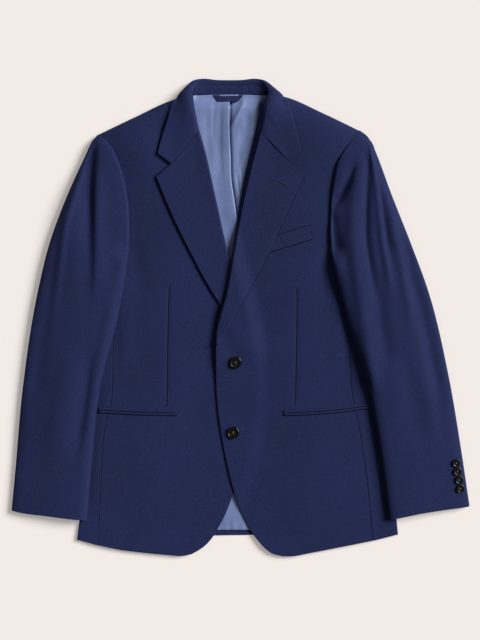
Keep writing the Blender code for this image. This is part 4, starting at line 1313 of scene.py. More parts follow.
SLEEVE_CREASES: dict[Side, tuple[Crease, ...]] = {
    Side.RIGHT: (
        Crease(((-245, 304), (-250, 268), (-254, 220), (-255, 170), (-255, 100), (-257, 40), (-261, -20)),
               8, 17, -7.5, 0.12, 0.75),
        Crease(((-239, 285), (-242, 235), (-243, 160), (-243, 90), (-247, 20)), 14, 4.5, 2.0),
        Crease(((-249, -38), (-256, -89), (-268, -174), (-280, -250)), 9, 15, -4.8),
        Crease(((-262, 272), (-270, 240), (-280, 208), (-291, 172), (-303, 98), (-312, 30), (-320, -40)),
               6, 11, 4.0, 0.14, 0.6),
        Crease(((-287, 208), (-299, 172), (-312, 98), (-322, 30), (-330, -60)), 9, 9, -2.4, 0.25, 0.6),
        Crease(((-330, 40), (-340, -60), (-352, -160)), 14, 12, -1.8),
        Crease(((-290, -60), (-306, -150), (-318, -260)), 16, 16, 1.4),
        Crease(((-213, 40), (-224, -20), (-238, -90)), 9, 9, 1.6),
    ),
    Side.LEFT: (
        Crease(((196, 272), (186, 240), (180, 225), (170, 205), (161, 190), (154, 172)), 6, 9, -5),
        Crease(((151, 190), (156, 155), (162, 125), (168, 96)), 11, 9, -5.5, 0.35),
        Crease(((204, 262), (200, 238), (194, 216), (189, 149), (194, 92), (201, 46), (208, -11),
                (217, -68), (228, -136)), 13, 12, 4.4, 0.1),
        Crease(((210, 296), (213, 271), (215, 255), (214, 238), (213, 216), (212, 173), (212, 137),
                (216, 103), (222, 64), (229, 20)), 6.5, 5, -4.2, 0.28),
        Crease(((213, 306), (219, 290), (222, 271), (227.5, 233), (231, 211), (236, 168), (242, 115),
                (248, 80), (256, 30)), 5, 5, 3, 0.2),
        Crease(((213, 305), (219, 289), (222, 271), (226, 246)), 2.2, 2.2, 1.6),
        Crease(((227, 251), (232, 227), (236.5, 206), (239, 184), (248, 126), (259, 80)), 6, 6, -2.4),
        Crease(((239, 238), (248, 200), (254, 178), (258, 149), (267, 114), (274, 80), (281, 42),
                (290, -45)), 8, 8, 2.8),
        Crease(((224, 90), (233, 35), (238, -11), (245, -47), (254, -100)), 12, 11, -3),
        Crease(((272, 150), (281, 115), (290, 69), (304, 23), (315, -22), (324, -68), (333, -113),
                (342, -160)), 12, 12, -4, 0.2),
        Crease(((262, -20), (286, -120), (300, -230)), 18, 18, -1.8),
        Crease(((300, -60), (320, -150), (334, -240)), 14, 14, 1.4),
    ),
}


# Distances from an edge at which points stand close together where the cloth rounds over.
ROUND_EDGE = (0.0, 1.3, 2.8, 5.0, 8.0, 12.0, 17.0)
SEAM_STRENGTH = 0.6
# Painted shade on a front just past the edges of its lapel and collar leaf: its strength, and how far out it
# lies.
EDGE_SHADE = 0.65
EDGE_SHADE_OUT = 1.3


def seam_and_shade_lines(plan: Array, lines: Sequence[tuple[Array, float]]) -> dict[str, Array]:
    """Distance of each place to the nearest of some marked lines, sewn lines and painted shade lines, each
    with its strength.

    Args:
        plan: Places on the cloth.
        lines: The lines and their strengths, up to 1.

    Returns:
        The two point attributes that the wool's sewn lines and painted shade lines read.
    """
    away = np.stack([distance_to(plan, line) for line, _ in lines])
    nearest = away.argmin(axis=0)
    return {"seam_and_shade_away": away.min(axis=0), "seam_and_shade_on": np.array([strength for _, strength in lines])[nearest]}


def beside(plan: Array, path: Line) -> tuple[Array, Array, Array]:
    """Distance beside a line that runs downwards, negative to its left, and lengths inside its ends.

    The level distance is divided by the root of 1 plus the slope squared.

    Args:
        plan: Places on the cloth.
        path: The line.

    Returns:
        The distance, the length below the upper end and the length above the lower end.
    """
    line = plain(path)[::-1]
    x, y = plan[..., 0], plan[..., 1]
    slope = np.interp(y, line[:, 1], np.gradient(line[:, 0], line[:, 1]))
    away = (x - x_at(path, y)) / np.sqrt(1 + slope**2)
    return away, line[-1, 1] - y, y - line[0, 1]


def seam_and_shade_masks(plan: Array, cut: Outline, leaf: Line, fade: float = 10.0) -> dict[str, Array]:
    """Sewn lines of a front, and painted shade on it just past the edges of its lapel and its collar leaf.

    Args:
        plan: Places on the cloth.
        cut: The outline of the front.
        leaf: The outer edge of the collar's end, downwards.
        fade: Length over which the dart fades in.

    Returns:
        The two point attributes that the wool's sewn lines and painted shade lines read.
    """
    dart, below, above = beside(plan, cut.dart)
    lines = [(dart, smoothstep(below / fade) * (above > -2))]
    sewn = seam_and_shade_lines(plan, [(plain(cut.side_seam), SEAM_STRENGTH)])
    lines.append((sewn["seam_and_shade_away"], sewn["seam_and_shade_on"]))
    # Painted shade just outside the lapel's edge and the collar leaf's edge.
    for edge, foot in ((cut.lapel_edge, 90.0), (leaf, 1.0)):
        away, below, above = beside(plan, edge)
        away = away - math.copysign(EDGE_SHADE_OUT, edge[0][0])
        lines.append((away, EDGE_SHADE * smoothstep(above / foot) * (below > -1)))
    away = np.stack([away for away, _ in lines])
    on = np.stack([on for _, on in lines])
    nearest = np.where(on > 0.01, np.abs(away), 1e3).argmin(axis=0)[None]
    return {
        "seam_and_shade_away": np.take_along_axis(away, nearest, 0)[0],
        "seam_and_shade_on": np.take_along_axis(on, nearest, 0)[0],
    }


@dataclass
class BodyPanels:
    """Fronts, side bodies, back and lining."""

    finishes: Finishes
    lie: Lie = field(default_factory=Lie)
    step: float = 3.6
    seam_gap: float = 0.5
    front_width: float = 250.0
    turn_above: float = 4.0
    turn_ramp: float = 30.0
    roll_seam: float = 2.9
    crease_margin: float = 14.0
    side_length: float = 480.0
    fold_turn: float = 9.0
    back_steps: tuple[float, float] = (6.0, 9.0)
    pleat: Line = ((-19, 366), (-19, 310), (-17, 268), (-16, 234), (-11, 200), (-6, 166), (0, 120))
    pleat_foot: Line = ((0, 60), (-8, -100), (-16, -359))
    pleat_rise: float = 2.6
    pleat_reach: float = 26.0
    pleat_window: tuple[float, ...] = (120, 60, 376, 16)
    billow: float = 4.4
    billow_window: tuple[float, ...] = (105, 70, 374, 22)
    under_fold_window: tuple[float, ...] = (318, 14, 376, 10)
    lining_lift: float = 0.35
    lining_margin: float = 30.0
    lining_corners: tuple[float, float] = (-78, 43)
    lining_hem: float = -360.0
    pucker: float = 0.35
    pucker_length: float = 2.3
    pucker_start: float = -335.0
    cross_fold: Line = ((8, 378), (1, 357), (-8, 338), (-17, 318))
    cross_depth: float = 4.6
    neckline: Line = ((-86, 375), (-70, 376.5), (-19, 377), (36, 377), (50, 378))
    side_trough: Crease = Crease(
        path=((-237, -90), (-248, -160), (-257, -242), (-264, -345)), plus_x=9, minus_x=10,
        rise=-2.2, fade=0.2,
    )

    def front(self, side: Side) -> bpy.types.Object:
        """A front: a patch between shoulder, armhole and side seam, hem, and front edge and roll line.

        Args:
            side: The wearer's side.

        Returns:
            The panel's object.
        """
        cut = OUTLINES[side]
        outer = joined(plain(cut.armhole, 90), plain(cut.armhole_foot, 40), plain(cut.side_seam, 160))
        v = graded(lengths_along(outer)[-1], self.step, ROUND_EDGE)
        u = graded(self.front_width, self.step)
        first = corner_line(outer, v)
        last = corner_line(joined(plain(cut.roll, 120), plain(cut.front_edge, 120)), v)
        turned = smoothstep((last[:, 1] - cut.lapel_edge[-1][1] - self.turn_above) / self.turn_ramp)[:, None]
        inset = self.lie.fold_radius(last[:, 1])[:, None] + self.roll_seam
        last = last + unit(first - last) * turned * inset
        last[0] = cut.shoulder[-1]
        plan = coons_patch(smooth_line(cut.shoulder, u), smooth_line(cut.hem, u), first, last, u, v)
        plan = drawn_in(plan, self.seam_gap / 2)
        height = self.lie.upper(plan, side) + self.crease_heights(side, plan, cut.front_ring())
        # Sewn lines, and painted shade past the edges of the lapel and the collar leaf.
        masks = seam_and_shade_masks(plan, cut, [section[0] for section in COLLAR_ENDS[side][::-1]])
        grid = raised(plan, height)
        return lay_cloth(f"front_{side.value}", grid, self.lie.wool, self.finishes.wool, masks)

    def crease_heights(self, side: Side, plan: Array, ring: Array) -> Array:
        """Sum of a front's creases and the hollow of its dart, fading out at its edges.

        Args:
            side: The wearer's side.
            plan: Places on the front.
            ring: The front's outline.

        Returns:
            What they add to the height, in mm.
        """
        dart = Crease(path=OUTLINES[side].dart, plus_x=3.0, minus_x=3.0, rise=-0.7, fade=0.12)
        total = sum(crease.height(plan) for crease in FRONT_CREASES[side]) + dart.height(plan)
        return total * smoothstep(depth_inside(plan, ring) / self.crease_margin)

    def side_body(self, side: Side) -> None:
        """A side body: flat from its seam to the side, and turned under there on a half circle.

        Args:
            side: The wearer's side.
        """
        cut = OUTLINES[side]
        v = graded(self.side_length, self.step)
        inner, outer = smooth_line(cut.side_seam, v), smooth_line(cut.side_fold, v)
        inwards = np.sign(inner[:, :1] - outer[:, :1]) * np.array([[1.0, 0.0]])
        inner = inner - inwards * self.seam_gap / 2
        radius = (self.lie.front(outer) - self.lie.floor) / 2
        centre = outer + inwards * (radius + self.lie.wool / 2)[:, None]
        columns = []
        for share in np.linspace(0.0, 1.0, 12):
            plan = inner + (centre - inner) * share
            trough = self.side_trough.height(plan) * math.sin(math.pi * share) ** 0.5
            columns.append(raised(plan, self.lie.front(plan) + trough))
        for angle in np.radians(np.arange(75.0, -91.0, -15.0)):
            plan = centre - inwards * (radius * math.cos(angle))[:, None]
            columns.append(raised(plan, self.lie.floor + radius * (1 + math.sin(angle))))
        columns.append(raised(centre + inwards * self.fold_turn, np.full(len(v), self.lie.floor)))
        grid = np.stack(columns, axis=1)
        masks = seam_and_shade_lines(grid, [(plain(cut.side_seam), SEAM_STRENGTH)])
        lay_cloth(f"side_{side.value}", grid, self.lie.wool, self.finishes.wool, masks)

    def back_edge(self, side: Side) -> Array:
        """Armhole and side edge of the back, beside the turned-under strip of the side body.

        Args:
            side: The wearer's side.

        Returns:
            Points of the edge.
        """
        cut = OUTLINES[side]
        outer = plain(cut.side_fold, 100)
        inwards = -np.sign(outer[:, :1] - self.lie.centre_x) * np.array([[1.0, 0.0]])
        radius = (self.lie.front(outer) - self.lie.floor) / 2
        reach = radius + self.lie.wool / 2 + self.fold_turn + 4 * self.seam_gap
        return joined(plain(cut.back_armhole, 80), outer + inwards * reach[:, None])

    def back(self) -> None:
        """The back: a patch that is flat on the table and curls up at the shoulders to meet the fronts."""
        edges = [self.back_edge(side) for side in Side]
        v = graded(lengths_along(edges[0])[-1], self.back_steps[1], ROUND_EDGE)
        first, last = (corner_line(edge, v) for edge in edges)
        shoulders = [plain(OUTLINES[side].shoulder, 60) for side in Side]
        top_line = joined(shoulders[0], plain(self.neckline, 60), shoulders[1][::-1])
        u = graded(lengths_along(top_line)[-1], self.back_steps[0])
        hem = smooth_line(self.lie.back_hem, u)
        hem[:, 0] = np.interp(hem[:, 0], (hem[0, 0], hem[-1, 0]), (first[-1, 0], last[-1, 0]))
        first[-1], last[-1] = hem[0], hem[-1]
        plan = drawn_in(coons_patch(corner_line(top_line, u), hem, first, last, u, v), self.seam_gap / 2)
        lay_cloth("back", raised(plan, self.lie.back(plan)), self.lie.wool, self.finishes.wool)

    def lining_height(self, places: Array) -> Array:
        """Middle height of the lining: over the back, with the pleat's layer rising toward its edge.

        Args:
            places: Points whose x and y are read.

        Returns:
            The heights, in mm.
        """
        x, y = places[..., 0], places[..., 1]
        before = x_at(self.pleat, y) - x
        step = np.where(before >= -0.1, smoothstep(1 - before / self.pleat_reach), 0.0)
        step = self.pleat_rise * step * window(y, *self.pleat_window)
        offset = self.lie.between(self.lie.wool, self.lie.lining) * steepness(self.lie.back, places)
        return self.lie.back(places) + offset + self.billow * window(y, *self.billow_window) + step

    def under_fold(self, places: Array) -> Array:
        """Depth, from 0 to 1, of the slanting part between the pleat and the fold that crosses it.

        Args:
            places: Points whose x and y are read.

        Returns:
            The depths.
        """
        x, y = places[..., 0], places[..., 1]
        near = x_at(self.pleat, y)
        width = np.maximum(x_at(self.cross_fold, y) - near, 2.0)
        share = np.clip((x - near) / width, 0.0, 1.0)
        return (1 - share) * (x > near + 0.5) * window(y, *self.under_fold_window)

    def lining(self) -> None:
        """The lining over the back, with its centre pleat, a second fold across it and puckers."""
        neck = np.linspace(0.0, 0.36, 96) ** 1.25 / 0.36**0.25
        v = np.concatenate([neck, np.linspace(0.36, 0.86, 30)[1:], np.linspace(0.86, 1.0, 40)[1:]])
        edges = []
        for side, corner in zip(Side, self.lining_corners):
            cut = OUTLINES[side]
            reach = self.lining_margin if side is Side.RIGHT else -self.lining_margin
            points = [(corner, 377), (corner - 1.6 * reach, 330), (cut.armhole[4][0] + reach, 200)]
            points += [(x + reach, y) for x, y in cut.side_fold[1:-1]]
            points.append((cut.side_fold[-1][0] + reach, self.lining_hem))
            edges.append(smooth_line(points, v))
        rows = edges[0][:, 1]
        pleat = np.stack([x_at(tuple(self.pleat) + tuple(self.pleat_foot), rows, 160), rows], axis=1)
        before = 1 - (1 - np.linspace(0.0, 1.0, 46)) ** 1.5
        after = np.linspace(0.0, 1.0, 46) ** 1.5
        start = pleat + [1.2, 0]
        columns = [edges[0] + (pleat - edges[0]) * share for share in before]
        columns += [start + (edges[1] - start) * share for share in after]
        plan = np.stack(columns, axis=1)
        creases = sum(crease.height(plan) for crease in LINING_CREASES)
        creases = creases - self.cross_depth * self.under_fold(plan)
        puckers = self.pucker * np.sin(plan[..., 0] / self.pucker_length)
        puckers = puckers * smoothstep((self.pucker_start - plan[..., 1]) / 25)
        height = self.lining_height(plan) + np.maximum(creases, -5.0) + puckers + self.lining_lift
        lay_cloth("back_lining", raised(plan, height), self.lie.lining, self.finishes.satin)

    def build(self) -> dict[Side, bpy.types.Object]:
        """Builds every panel.

        Returns:
            The two fronts.
        """
        self.back()
        self.lining()
        for side in Side:
            self.side_body(side)
        return {side: self.front(side) for side in Side}


class Station:
    """Heights of a sleeve's upper surface by y, as columns of a table read straight between its rows."""

    y = (-345, -200, -60, 60, 145, 230, 290, 316)
    outer = (10, 11.5, 13.5, 15, 16.5, 17, 16.5, 12)
    crown = (2, 3, 4, 5, 6, 7, 3, 0)
    inner = (10, 11, 12, 13, 13, 13, 13, 13)


def station(y: Array, column: Sequence[float]) -> Array:
    """A column of the sleeve's table at heights on the body."""
    return np.interp(y, Station.y, column)


@dataclass
class Sleeves:
    """Two-piece sleeves, flattened, hanging from their armholes and lying over the sides of the body."""

    finishes: Finishes
    lie: Lie = field(default_factory=Lie)
    step: float = 2.8
    seam_gap: float = 0.5
    sleeve_round: float = 15.0
    sleeve_seam: float = 0.8
    seam_reach: float = 26.0
    head_rise: float = 5.5
    head_window: tuple[float, ...] = (84, 60, 314, 60)
    head_reach: float = 30.0
    fold_from_y: float = 122.0
    fold_full_y: float = 84.0
    over_front: Ramp = Ramp(outside=40, length=50)
    flat_width: float = 90.0
    inner_levels: tuple[float, ...] = (-345, 40, 90, 98, 330)
    outer_levels: tuple[float, ...] = (-331, 46, 96, 118, 322)
    under_shares: tuple[float, ...] = (0.0, 0.0214, 0.107, 0.2643, 0.4214, 0.5786, 0.7357, 0.893, 0.9786, 1.0)
    evening: int = 14

    def plan(
        self, side: Side, u: Array, first: Array, last: Array, v: Array
    ) -> Array:
        """Plan of a sleeve half: a patch between its outer fold and its inner side.

        Args:
            side: The wearer's side.
            u: Shares across, from 0 to 1.
            first: Points down the outer fold.
            last: Points down the inner side.
            v: Shares along, from 0 to 1.

        Returns:
            Points in rows and columns.
        """
        cuff = smooth_line(OUTLINES[side].cuff, u)
        first[-1], last[-1] = cuff[0], cuff[-1]
        top = corner_line([first[0], last[0]], u)
        return drawn_in(coons_patch(top, cuff, first, last, u, v), self.seam_gap / 2)

    def rounding(self, side: Side, plan: Array) -> Array:
        """How far each place is round the outer fold, from 0 at the fold to 1 inside.

        Args:
            side: The wearer's side.
            plan: Places on the sleeve.

        Returns:
            The shares of the rounding.
        """
        cut = OUTLINES[side]
        silhouette = np.vstack([cut.shoulder[:1], plain(cut.sleeve_outer)])
        return quarter_round(distance_to(plan, silhouette), self.lie.shoulder_roll)

    def levels(self, side: Side, plan: Array) -> tuple[Array, ...]:
        """Heights of each row of a sleeve.

        Args:
            side: The wearer's side.
            plan: Its plan.

        Returns:
            The surface at the outer fold; on the inner side, the surface, the middle of the fold
            and what it lies on; and how far that fold has risen from the seam.
        """
        first, last = plan[:, 0], plan[:, -1]
        rising = falling(last[:, 1], self.fold_from_y, self.fold_full_y)
        over_front = self.over_front.height(OUTLINES[side].armhole[-1][1] - last[:, 1])
        seam = self.lie.body(last, side) + over_front * self.lie.on_wool
        thick = rising * station(last[:, 1], Station.inner)
        outer, bed = station(first[:, 1], Station.outer), self.lie.bed(last, side)
        rows = (outer, seam + thick, seam + thick / 2, bed, rising)
        return tuple(row[:, None] for row in rows)

    def top_grid(self, side: Side) -> Array:
        """The upper half: up over its crown from the outer fold, and down to the armhole or inner fold.

        Args:
            side: The wearer's side.

        Returns:
            Points in rows and columns.
        """
        cut = OUTLINES[side]
        inner_line = joined(plain(cut.armhole, 90), plain(cut.sleeve_inner, 160))
        v = graded(lengths_along(inner_line)[-1], self.step, (0.0, 1.0, 2.2, 4.0, 7.0, 11.0, 16.0))
        u = graded(140.0, self.step, (0.0, 0.6, 1.4, 2.6, 4.2, 6.4, 9.2, 12.4))
        last = corner_line(inner_line, v)
        first = smooth_line(cut.sleeve_outer, v)
        plan = self.plan(side, u, first, last + unit(first - last) * self.sleeve_seam, v)
        outer, inner, inner_fold, _, rising = self.levels(side, plan)
        even = evened(inner, self.evening)
        outer_gap = np.linalg.norm(plan - plan[:, :1], axis=-1)
        inner_gap = np.linalg.norm(plan - plan[:, -1:], axis=-1)
        width = outer_gap[:, -1:]
        share = outer_gap / width
        crown = station(plan[..., 1], Station.crown) * np.sin(math.pi * share)
        crown = crown * smoothstep(width / self.flat_width)
        full = outer + (even - outer) * smoothstep(share) + crown
        full = full + (inner - even) * (1 - smoothstep(inner_gap / self.seam_reach))
        rounded = 1 - quarter_round(inner_gap, self.sleeve_round)
        full = full - (inner - inner_fold - rising * self.lie.edge_rise) * rounded
        head = self.head_rise * window(plan[..., 1], *self.head_window) * quarter_round(inner_gap, 3.2)
        full = full + head * np.exp(-((inner_gap / self.head_reach) ** 2))
        creases = sum(crease.height(plan) for crease in SLEEVE_CREASES[side])
        full = full + creases * smoothstep(outer_gap / 9) * smoothstep(inner_gap / 5)
        middle = (self.lie.floor + full) / 2
        rounding = self.rounding(side, plan)
        return raised(plan, middle + self.lie.edge_rise * (1 - rounding) + (full - middle) * rounding)

    def under_grid(self, side: Side) -> Array:
        """The lower half: from the back's armhole and the side body, over the table and up to both folds.

        Args:
            side: The wearer's side.

        Returns:
            Points in rows and columns.
        """
        cut = OUTLINES[side]
        outwards = np.array([np.sign(cut.cuff[0][0]) * 2 * self.seam_gap, 0.0])
        armhole = smooth_line(cut.back_armhole, (0.0, 0.006, 0.022, 0.05, 0.3, 0.55, 0.8, 1.0)) + outwards
        armhole[-1] = armhole[-2] + (armhole[-1] - armhole[-2]) * 0.3
        across = corner_line([cut.side_fold[0], cut.armhole_foot[-1]], (0.16, 1.0)) + [0, self.seam_gap]
        inner = smooth_line(cut.sleeve_inner, np.linspace(0, 1, 17))
        inner = inner[inner[:, 1] < 92]
        last = np.vstack([armhole, across, inner])
        outer_y = np.interp(last[:, 1], self.inner_levels, self.outer_levels)
        first = np.stack([x_at(cut.sleeve_outer, outer_y, 200), outer_y], axis=1)
        plan = self.plan(side, np.array(self.under_shares), first, last, shares_of(last))
        outer, _, inner_fold, bed, _ = self.levels(side, plan)
        inner_gap = np.linalg.norm(plan - plan[:, -1:], axis=-1)
        outer_gap = np.linalg.norm(plan - plan[:, :1], axis=-1)
        row = np.arange(len(plan))[:, None]
        ground = self.lie.bed(plan, side)
        near_back = (row < len(armhole)) * (1 - smoothstep(inner_gap / 30))
        ground = ground + (self.lie.back(plan[:, -1:]) - ground) * near_back
        folded = (row >= len(armhole) + len(across)) * (1 - quarter_round(inner_gap, self.sleeve_round))
        ground = ground + (inner_fold - self.lie.edge_drop - bed) * folded
        fold = (self.lie.floor + outer) / 2 - self.lie.edge_drop
        rounded = (1 - self.rounding(side, plan) ** 2) * (1 - smoothstep(outer_gap / (outer_gap + inner_gap)))
        return raised(plan, ground + (fold - ground) * rounded)

    def build(self) -> dict[Side, bpy.types.Object]:
        """Builds both halves of both sleeves.

        Returns:
            The upper halves.
        """
        uppers = {}
        for side in Side:
            for half, grid in (("under", self.under_grid(side)), ("top", self.top_grid(side))):
                node = f"{half}_sleeve_{side.value}"
                uppers[side] = lay_cloth(node, grid, self.lie.wool, self.finishes.wool)
        return uppers


# Sections of the collar's ends: free edge, crest and roll line, as places on a front.
COLLAR_ENDS: dict[Side, Sequence[Line]] = {
    Side.RIGHT: (
        ((-139, 276.5), (-116.5, 259.5), (-70, 315)),
        ((-131.5, 304), (-108, 295), (-74.5, 336)),
        ((-121, 336), (-101, 331.5), (-78.5, 357)),
    ),
    Side.LEFT: (
        ((104, 280), (81, 264), (33, 314)),
        ((97, 307), (73, 298), (37.5, 336)),
        ((88, 339), (66, 334), (41.5, 357)),
    ),
}
# Sections past the shoulder, to the centre: edge, crest, turn in, fold, turn out and lip.
COLLAR_BACK_HALF = (
    ((-112.5, 366, 11.0), (-101, 364, 21.6), (-85, 374.5, 22.4), (-80.3, 375.5, 19), (-81.5, 376, 15.5),
     (-83, 376.5, 13.5)),
    ((-109, 368.5, 5), (-104.5, 374.5, 14), (-88, 382, 21.2), (-81, 382.5, 18.4), (-80.8, 381, 15.5),
     (-81, 380, 13.8)),
    (
        (-101, 362, 1.3), (-99.5, 382, 8), (-86.5, 389, 17.5),
        (-81, 389, 16), (-79.5, 387, 14), (-79, 385, 12.8),
    ),
    ((-82, 357.5, 1.2), (-83.5, 393.5, 4.2), (-80, 400.3, 9), (-76.5, 400, 11), (-75.3, 395.5, 10),
     (-74.5, 391.8, 9.2)),
    ((-63, 355, 1.2), (-64, 388, 1.2), (-63.5, 402.4, 1.6), (-63.3, 404.3, 3.9), (-63, 402, 6.2),
     (-62.5, 393.5, 6.2)),
    ((-41, 353.5, 1.2), (-41, 386, 1.2), (-41, 400.6, 1.2), (-41, 402.4, 3.1), (-41, 400.6, 5.2),
     (-41, 393.5, 5.2)),
    ((-18.5, 353, 1.2), (-18.5, 386, 1.2), (-18.5, 400.2, 1.2), (-18.5, 402, 2.9), (-18.5, 400.2, 4.7),
     (-18.5, 393.5, 4.7)),
)


@dataclass
class Collar:
    """Notched lapels turned out at the roll lines, the collar's fall and its stand."""

    finishes: Finishes
    lie: Lie = field(default_factory=Lie)
    step: float = 3.0
    seam_gap: float = 0.5
    slack: float = 0.5
    stand_top: Line = (
        (-78, 384, 11.6), (-73.6, 390.6, 8.8), (-62.5, 393, 6.2), (-41, 393, 5.2), (-18.5, 393, 4.7),
    )
    stand_foot: Line = (
        (-79.5, 378, 9.5), (-74, 377.9, 7.6), (-62.5, 377.8, 6.2), (-41, 377.8, 5.2), (-18.5, 377.8, 4.9)
    )
    neck_shifts: tuple[float, ...] = (3.0, 4.0, 1.5, -1.0, -1.0, 0.0, 0.0)
    leans: dict[Side, float] = field(default_factory=lambda: {Side.RIGHT: 0.0, Side.LEFT: 14.0})
    lean_slope: float = 0.25
    lean_from_y: float = 20.0
    lean_ramp: float = 320.0
    lapel_length: float = 360.0
    lapel_width: float = 75.0
    gorge_strength: float = 0.8
    gather: float = 0.22
    gather_length: float = 2.9
    stand_swell: float = 0.5
    rows: tuple[int, ...] = (6, 6, 10, 8, 6, 6, 6, 6, 6)
    across: tuple[int, ...] = (8, 10, 5, 5, 4)

    def fold_point(
        self, side: Side, roll: Array, toward: Array, radius: Array, angle: float
    ) -> Array:
        """Points of the fold at an angle round it, from -90 degrees below to 90 above.

        A half circle inwards of the roll line, whose lower part leans out into the neck.

        Args:
            side: The wearer's side.
            roll: Places on the roll line.
            toward: Unit directions from there into the lapel.
            radius: The fold's radius at each place.
            angle: The angle, in radians.

        Returns:
            The points.
        """
        up = np.clip((roll[..., 1:2] - self.lean_from_y) / self.lean_ramp, 0.0, 1.0)
        low = ((1 - math.sin(angle)) / 2) ** 2 * up
        plan = roll + toward * (radius * (1 - math.cos(angle)) - self.leans[side] * low)
        sunk = self.leans[side] * self.lean_slope * low[..., 0]
        return raised(plan, self.lie.body(plan, side) + radius[..., 0] * (1 + math.sin(angle)) - sunk)

    def lapel(self, side: Side) -> None:
        """A lapel: the facing turned out at the roll line on part of a circle, and lying on its front.

        Args:
            side: The wearer's side.
        """
        cut = OUTLINES[side]
        roll_line = plain(cut.roll, 200)
        shares = shares_of(roll_line)
        ends = (cut.gorge[0][1], cut.lapel_edge[-1][1])
        span = [float(np.interp(-y, -roll_line[:, 1], shares)) for y in ends]
        v = graded(self.lapel_length, self.step)
        roll = corner_line(roll_line, span[0] + (span[1] - span[0]) * v)
        edge = smooth_line(cut.lapel_edge, v)
        toward = unit(edge - roll)
        radius = self.lie.fold_radius(roll[:, 1])[:, None]
        start = roll + toward * radius
        u = graded(self.lapel_width, self.step)
        gorge = corner_line(cut.gorge, u)
        gorge[0] = start[0]
        plan = coons_patch(gorge, corner_line([start[-1], edge[-1]], u), start, edge, u, v)
        flat = raised(plan, self.lie.body(plan, side) + self.lie.roll_rise(plan, side))
        columns = []
        for angle in np.radians(np.linspace(-70.0, 74.0, 15)):
            columns.append(self.fold_point(side, roll, toward, radius, angle))
        grid = np.concatenate([np.stack(columns, axis=1), flat], axis=1)
        grid[0] += (grid[1] - grid[0]) * 0.3
        # The gorge is darkened both as a sewn line and as painted shade in its gap.
        masks = seam_and_shade_lines(grid, [(np.asarray(cut.gorge, float), self.gorge_strength)])
        lay_cloth(f"lapel_{side.value}", grid, self.lie.lapel, self.finishes.wool, masks)

    def end_section(self, side: Side, section: Line) -> Array:
        """Points of a section that lies on a front, with its half circle at the roll line.

        Args:
            side: The wearer's side.
            section: Free edge, crest and roll line.

        Returns:
            Points from the free edge round to the stand.
        """
        edge, crest, roll = (np.array(point, float) for point in section)
        toward = unit(crest - roll)
        radius = self.lie.fold_radius(roll[1:])[None]
        flat = np.array([edge, crest, roll + toward * radius[0]])
        points = [raised(flat, self.lie.body(flat, side) + self.lie.roll_rise(flat, side))]
        for angle in np.radians((12.0, -42.0, -90.0)):
            points.append(self.fold_point(side, roll[None], toward[None], radius, angle))
        return np.vstack(points)

    def sections(self) -> Array:
        """All sections, from the right tip round the back of the neck to the left tip.

        Returns:
            Sections in rows.
        """
        right, left = ([self.end_section(side, section) for section in COLLAR_ENDS[side]] for side in Side)
        half = [np.array(section, float) for section in COLLAR_BACK_HALF]
        shifts = [2 * self.lie.centre_x + shift for shift in self.neck_shifts]
        mirrored = [points * [-1, 1, 1] + [shift, 0, 0] for points, shift in zip(half, shifts)]
        return np.array(right + half + mirrored[-2::-1] + left[::-1])

    def clear_of_fronts(self, points: Array) -> Array:
        """Least middle height of the collar over the rounded shoulder of a front, or 0 off it.

        Args:
            points: Points of the collar.

        Returns:
            The heights, in mm.
        """
        level = np.zeros(points.shape[:-1])
        away = self.lie.between(self.lie.wool, self.lie.lapel) + self.slack
        for side in Side:
            over = depth_inside(points, OUTLINES[side].front_ring()) > -4
            offset = away * steepness(lambda p, side=side: self.lie.upper(p, side), points)
            level = np.where(over, np.maximum(level, self.lie.upper(points, side) + offset), level)
        return level

    def fall(self) -> None:
        """The fall: curves through the sections, over the shoulders and under the back of the neck."""
        counts = self.rows + self.rows[::-1]
        net = refined(self.sections(), counts)
        grid = refined(net.swapaxes(0, 1), self.across).swapaxes(0, 1)
        begins = np.concatenate([[0], np.cumsum(counts)])
        at = np.interp(np.arange(len(grid)), begins, np.arange(len(begins)))
        flat = sum(self.across[:2])
        shares = np.arange(flat + 1)
        corners = np.cumsum((0,) + self.across[:2])
        weights = np.stack([np.interp(shares, corners, row) for row in np.eye(3)])
        straight = np.einsum("rkc,ks->rsc", net[:, :3], weights)
        sharp = falling(np.minimum(at, len(counts) - at), 3.0, 1.2)[:, None, None]
        grid[:, : flat + 1] += (straight - grid[:, : flat + 1]) * sharp
        over_front = np.minimum(at, len(counts) - at) < 3.7
        grid[over_front, :, 2] = np.maximum(grid[over_front, :, 2], self.clear_of_fronts(grid[over_front]))
        grid[0] += (grid[1] - grid[0]) * 0.1
        grid[-1] += (grid[-2] - grid[-1]) * 0.1
        grid[..., 2] = np.maximum(grid[..., 2], self.lie.lapel / 2 + 0.1)
        lay_cloth("collar", grid[::-1], self.lie.lapel, self.finishes.wool)

    def stand(self) -> None:
        """The stand, from the seam under the fold down to the neck seam, gently gathered."""
        shares = np.linspace(0, 1, 40)
        edges = []
        for line in (self.stand_top, self.stand_foot):
            half = smooth_line(line, shares)
            edges.append(np.vstack([half, half[-2::-1] * [-1, 1, 1] + [2 * self.lie.centre_x, 0, 0]]))
        down = np.linspace(0, 1, 9)[:, None, None]
        grid = edges[0][None] * (1 - down) + edges[1][None] * down
        gathers = self.gather * np.sin(grid[..., 0] / self.gather_length)
        grid[..., 2] += (gathers + self.stand_swell) * np.sin(math.pi * down[..., 0])
        lay_cloth("collar_stand", grid, self.lie.lapel, self.finishes.wool)

    def build(self) -> None:
        """Builds the lapels, the fall and the stand."""
        for side in Side:
            self.lapel(side)
        self.fall()
        self.stand()


def strip_plan(path: Line, width: float, rows: int, columns: int) -> Array:
    """Plan of a strip along a line: the line moved to both sides, square to its way.

    Args:
        path: Points of the line.
        width: Width of the strip.
        rows: Points across.
        columns: Points along.

    Returns:
        Points in rows and columns.
    """
    line = smooth_line(path, np.linspace(0, 1, columns))
    along = unit(np.gradient(line, axis=0))
    across = np.stack([-along[:, 1], along[:, 0]], axis=1) * width / 2
    return line[None] + across[None] * np.linspace(1, -1, rows)[:, None, None]


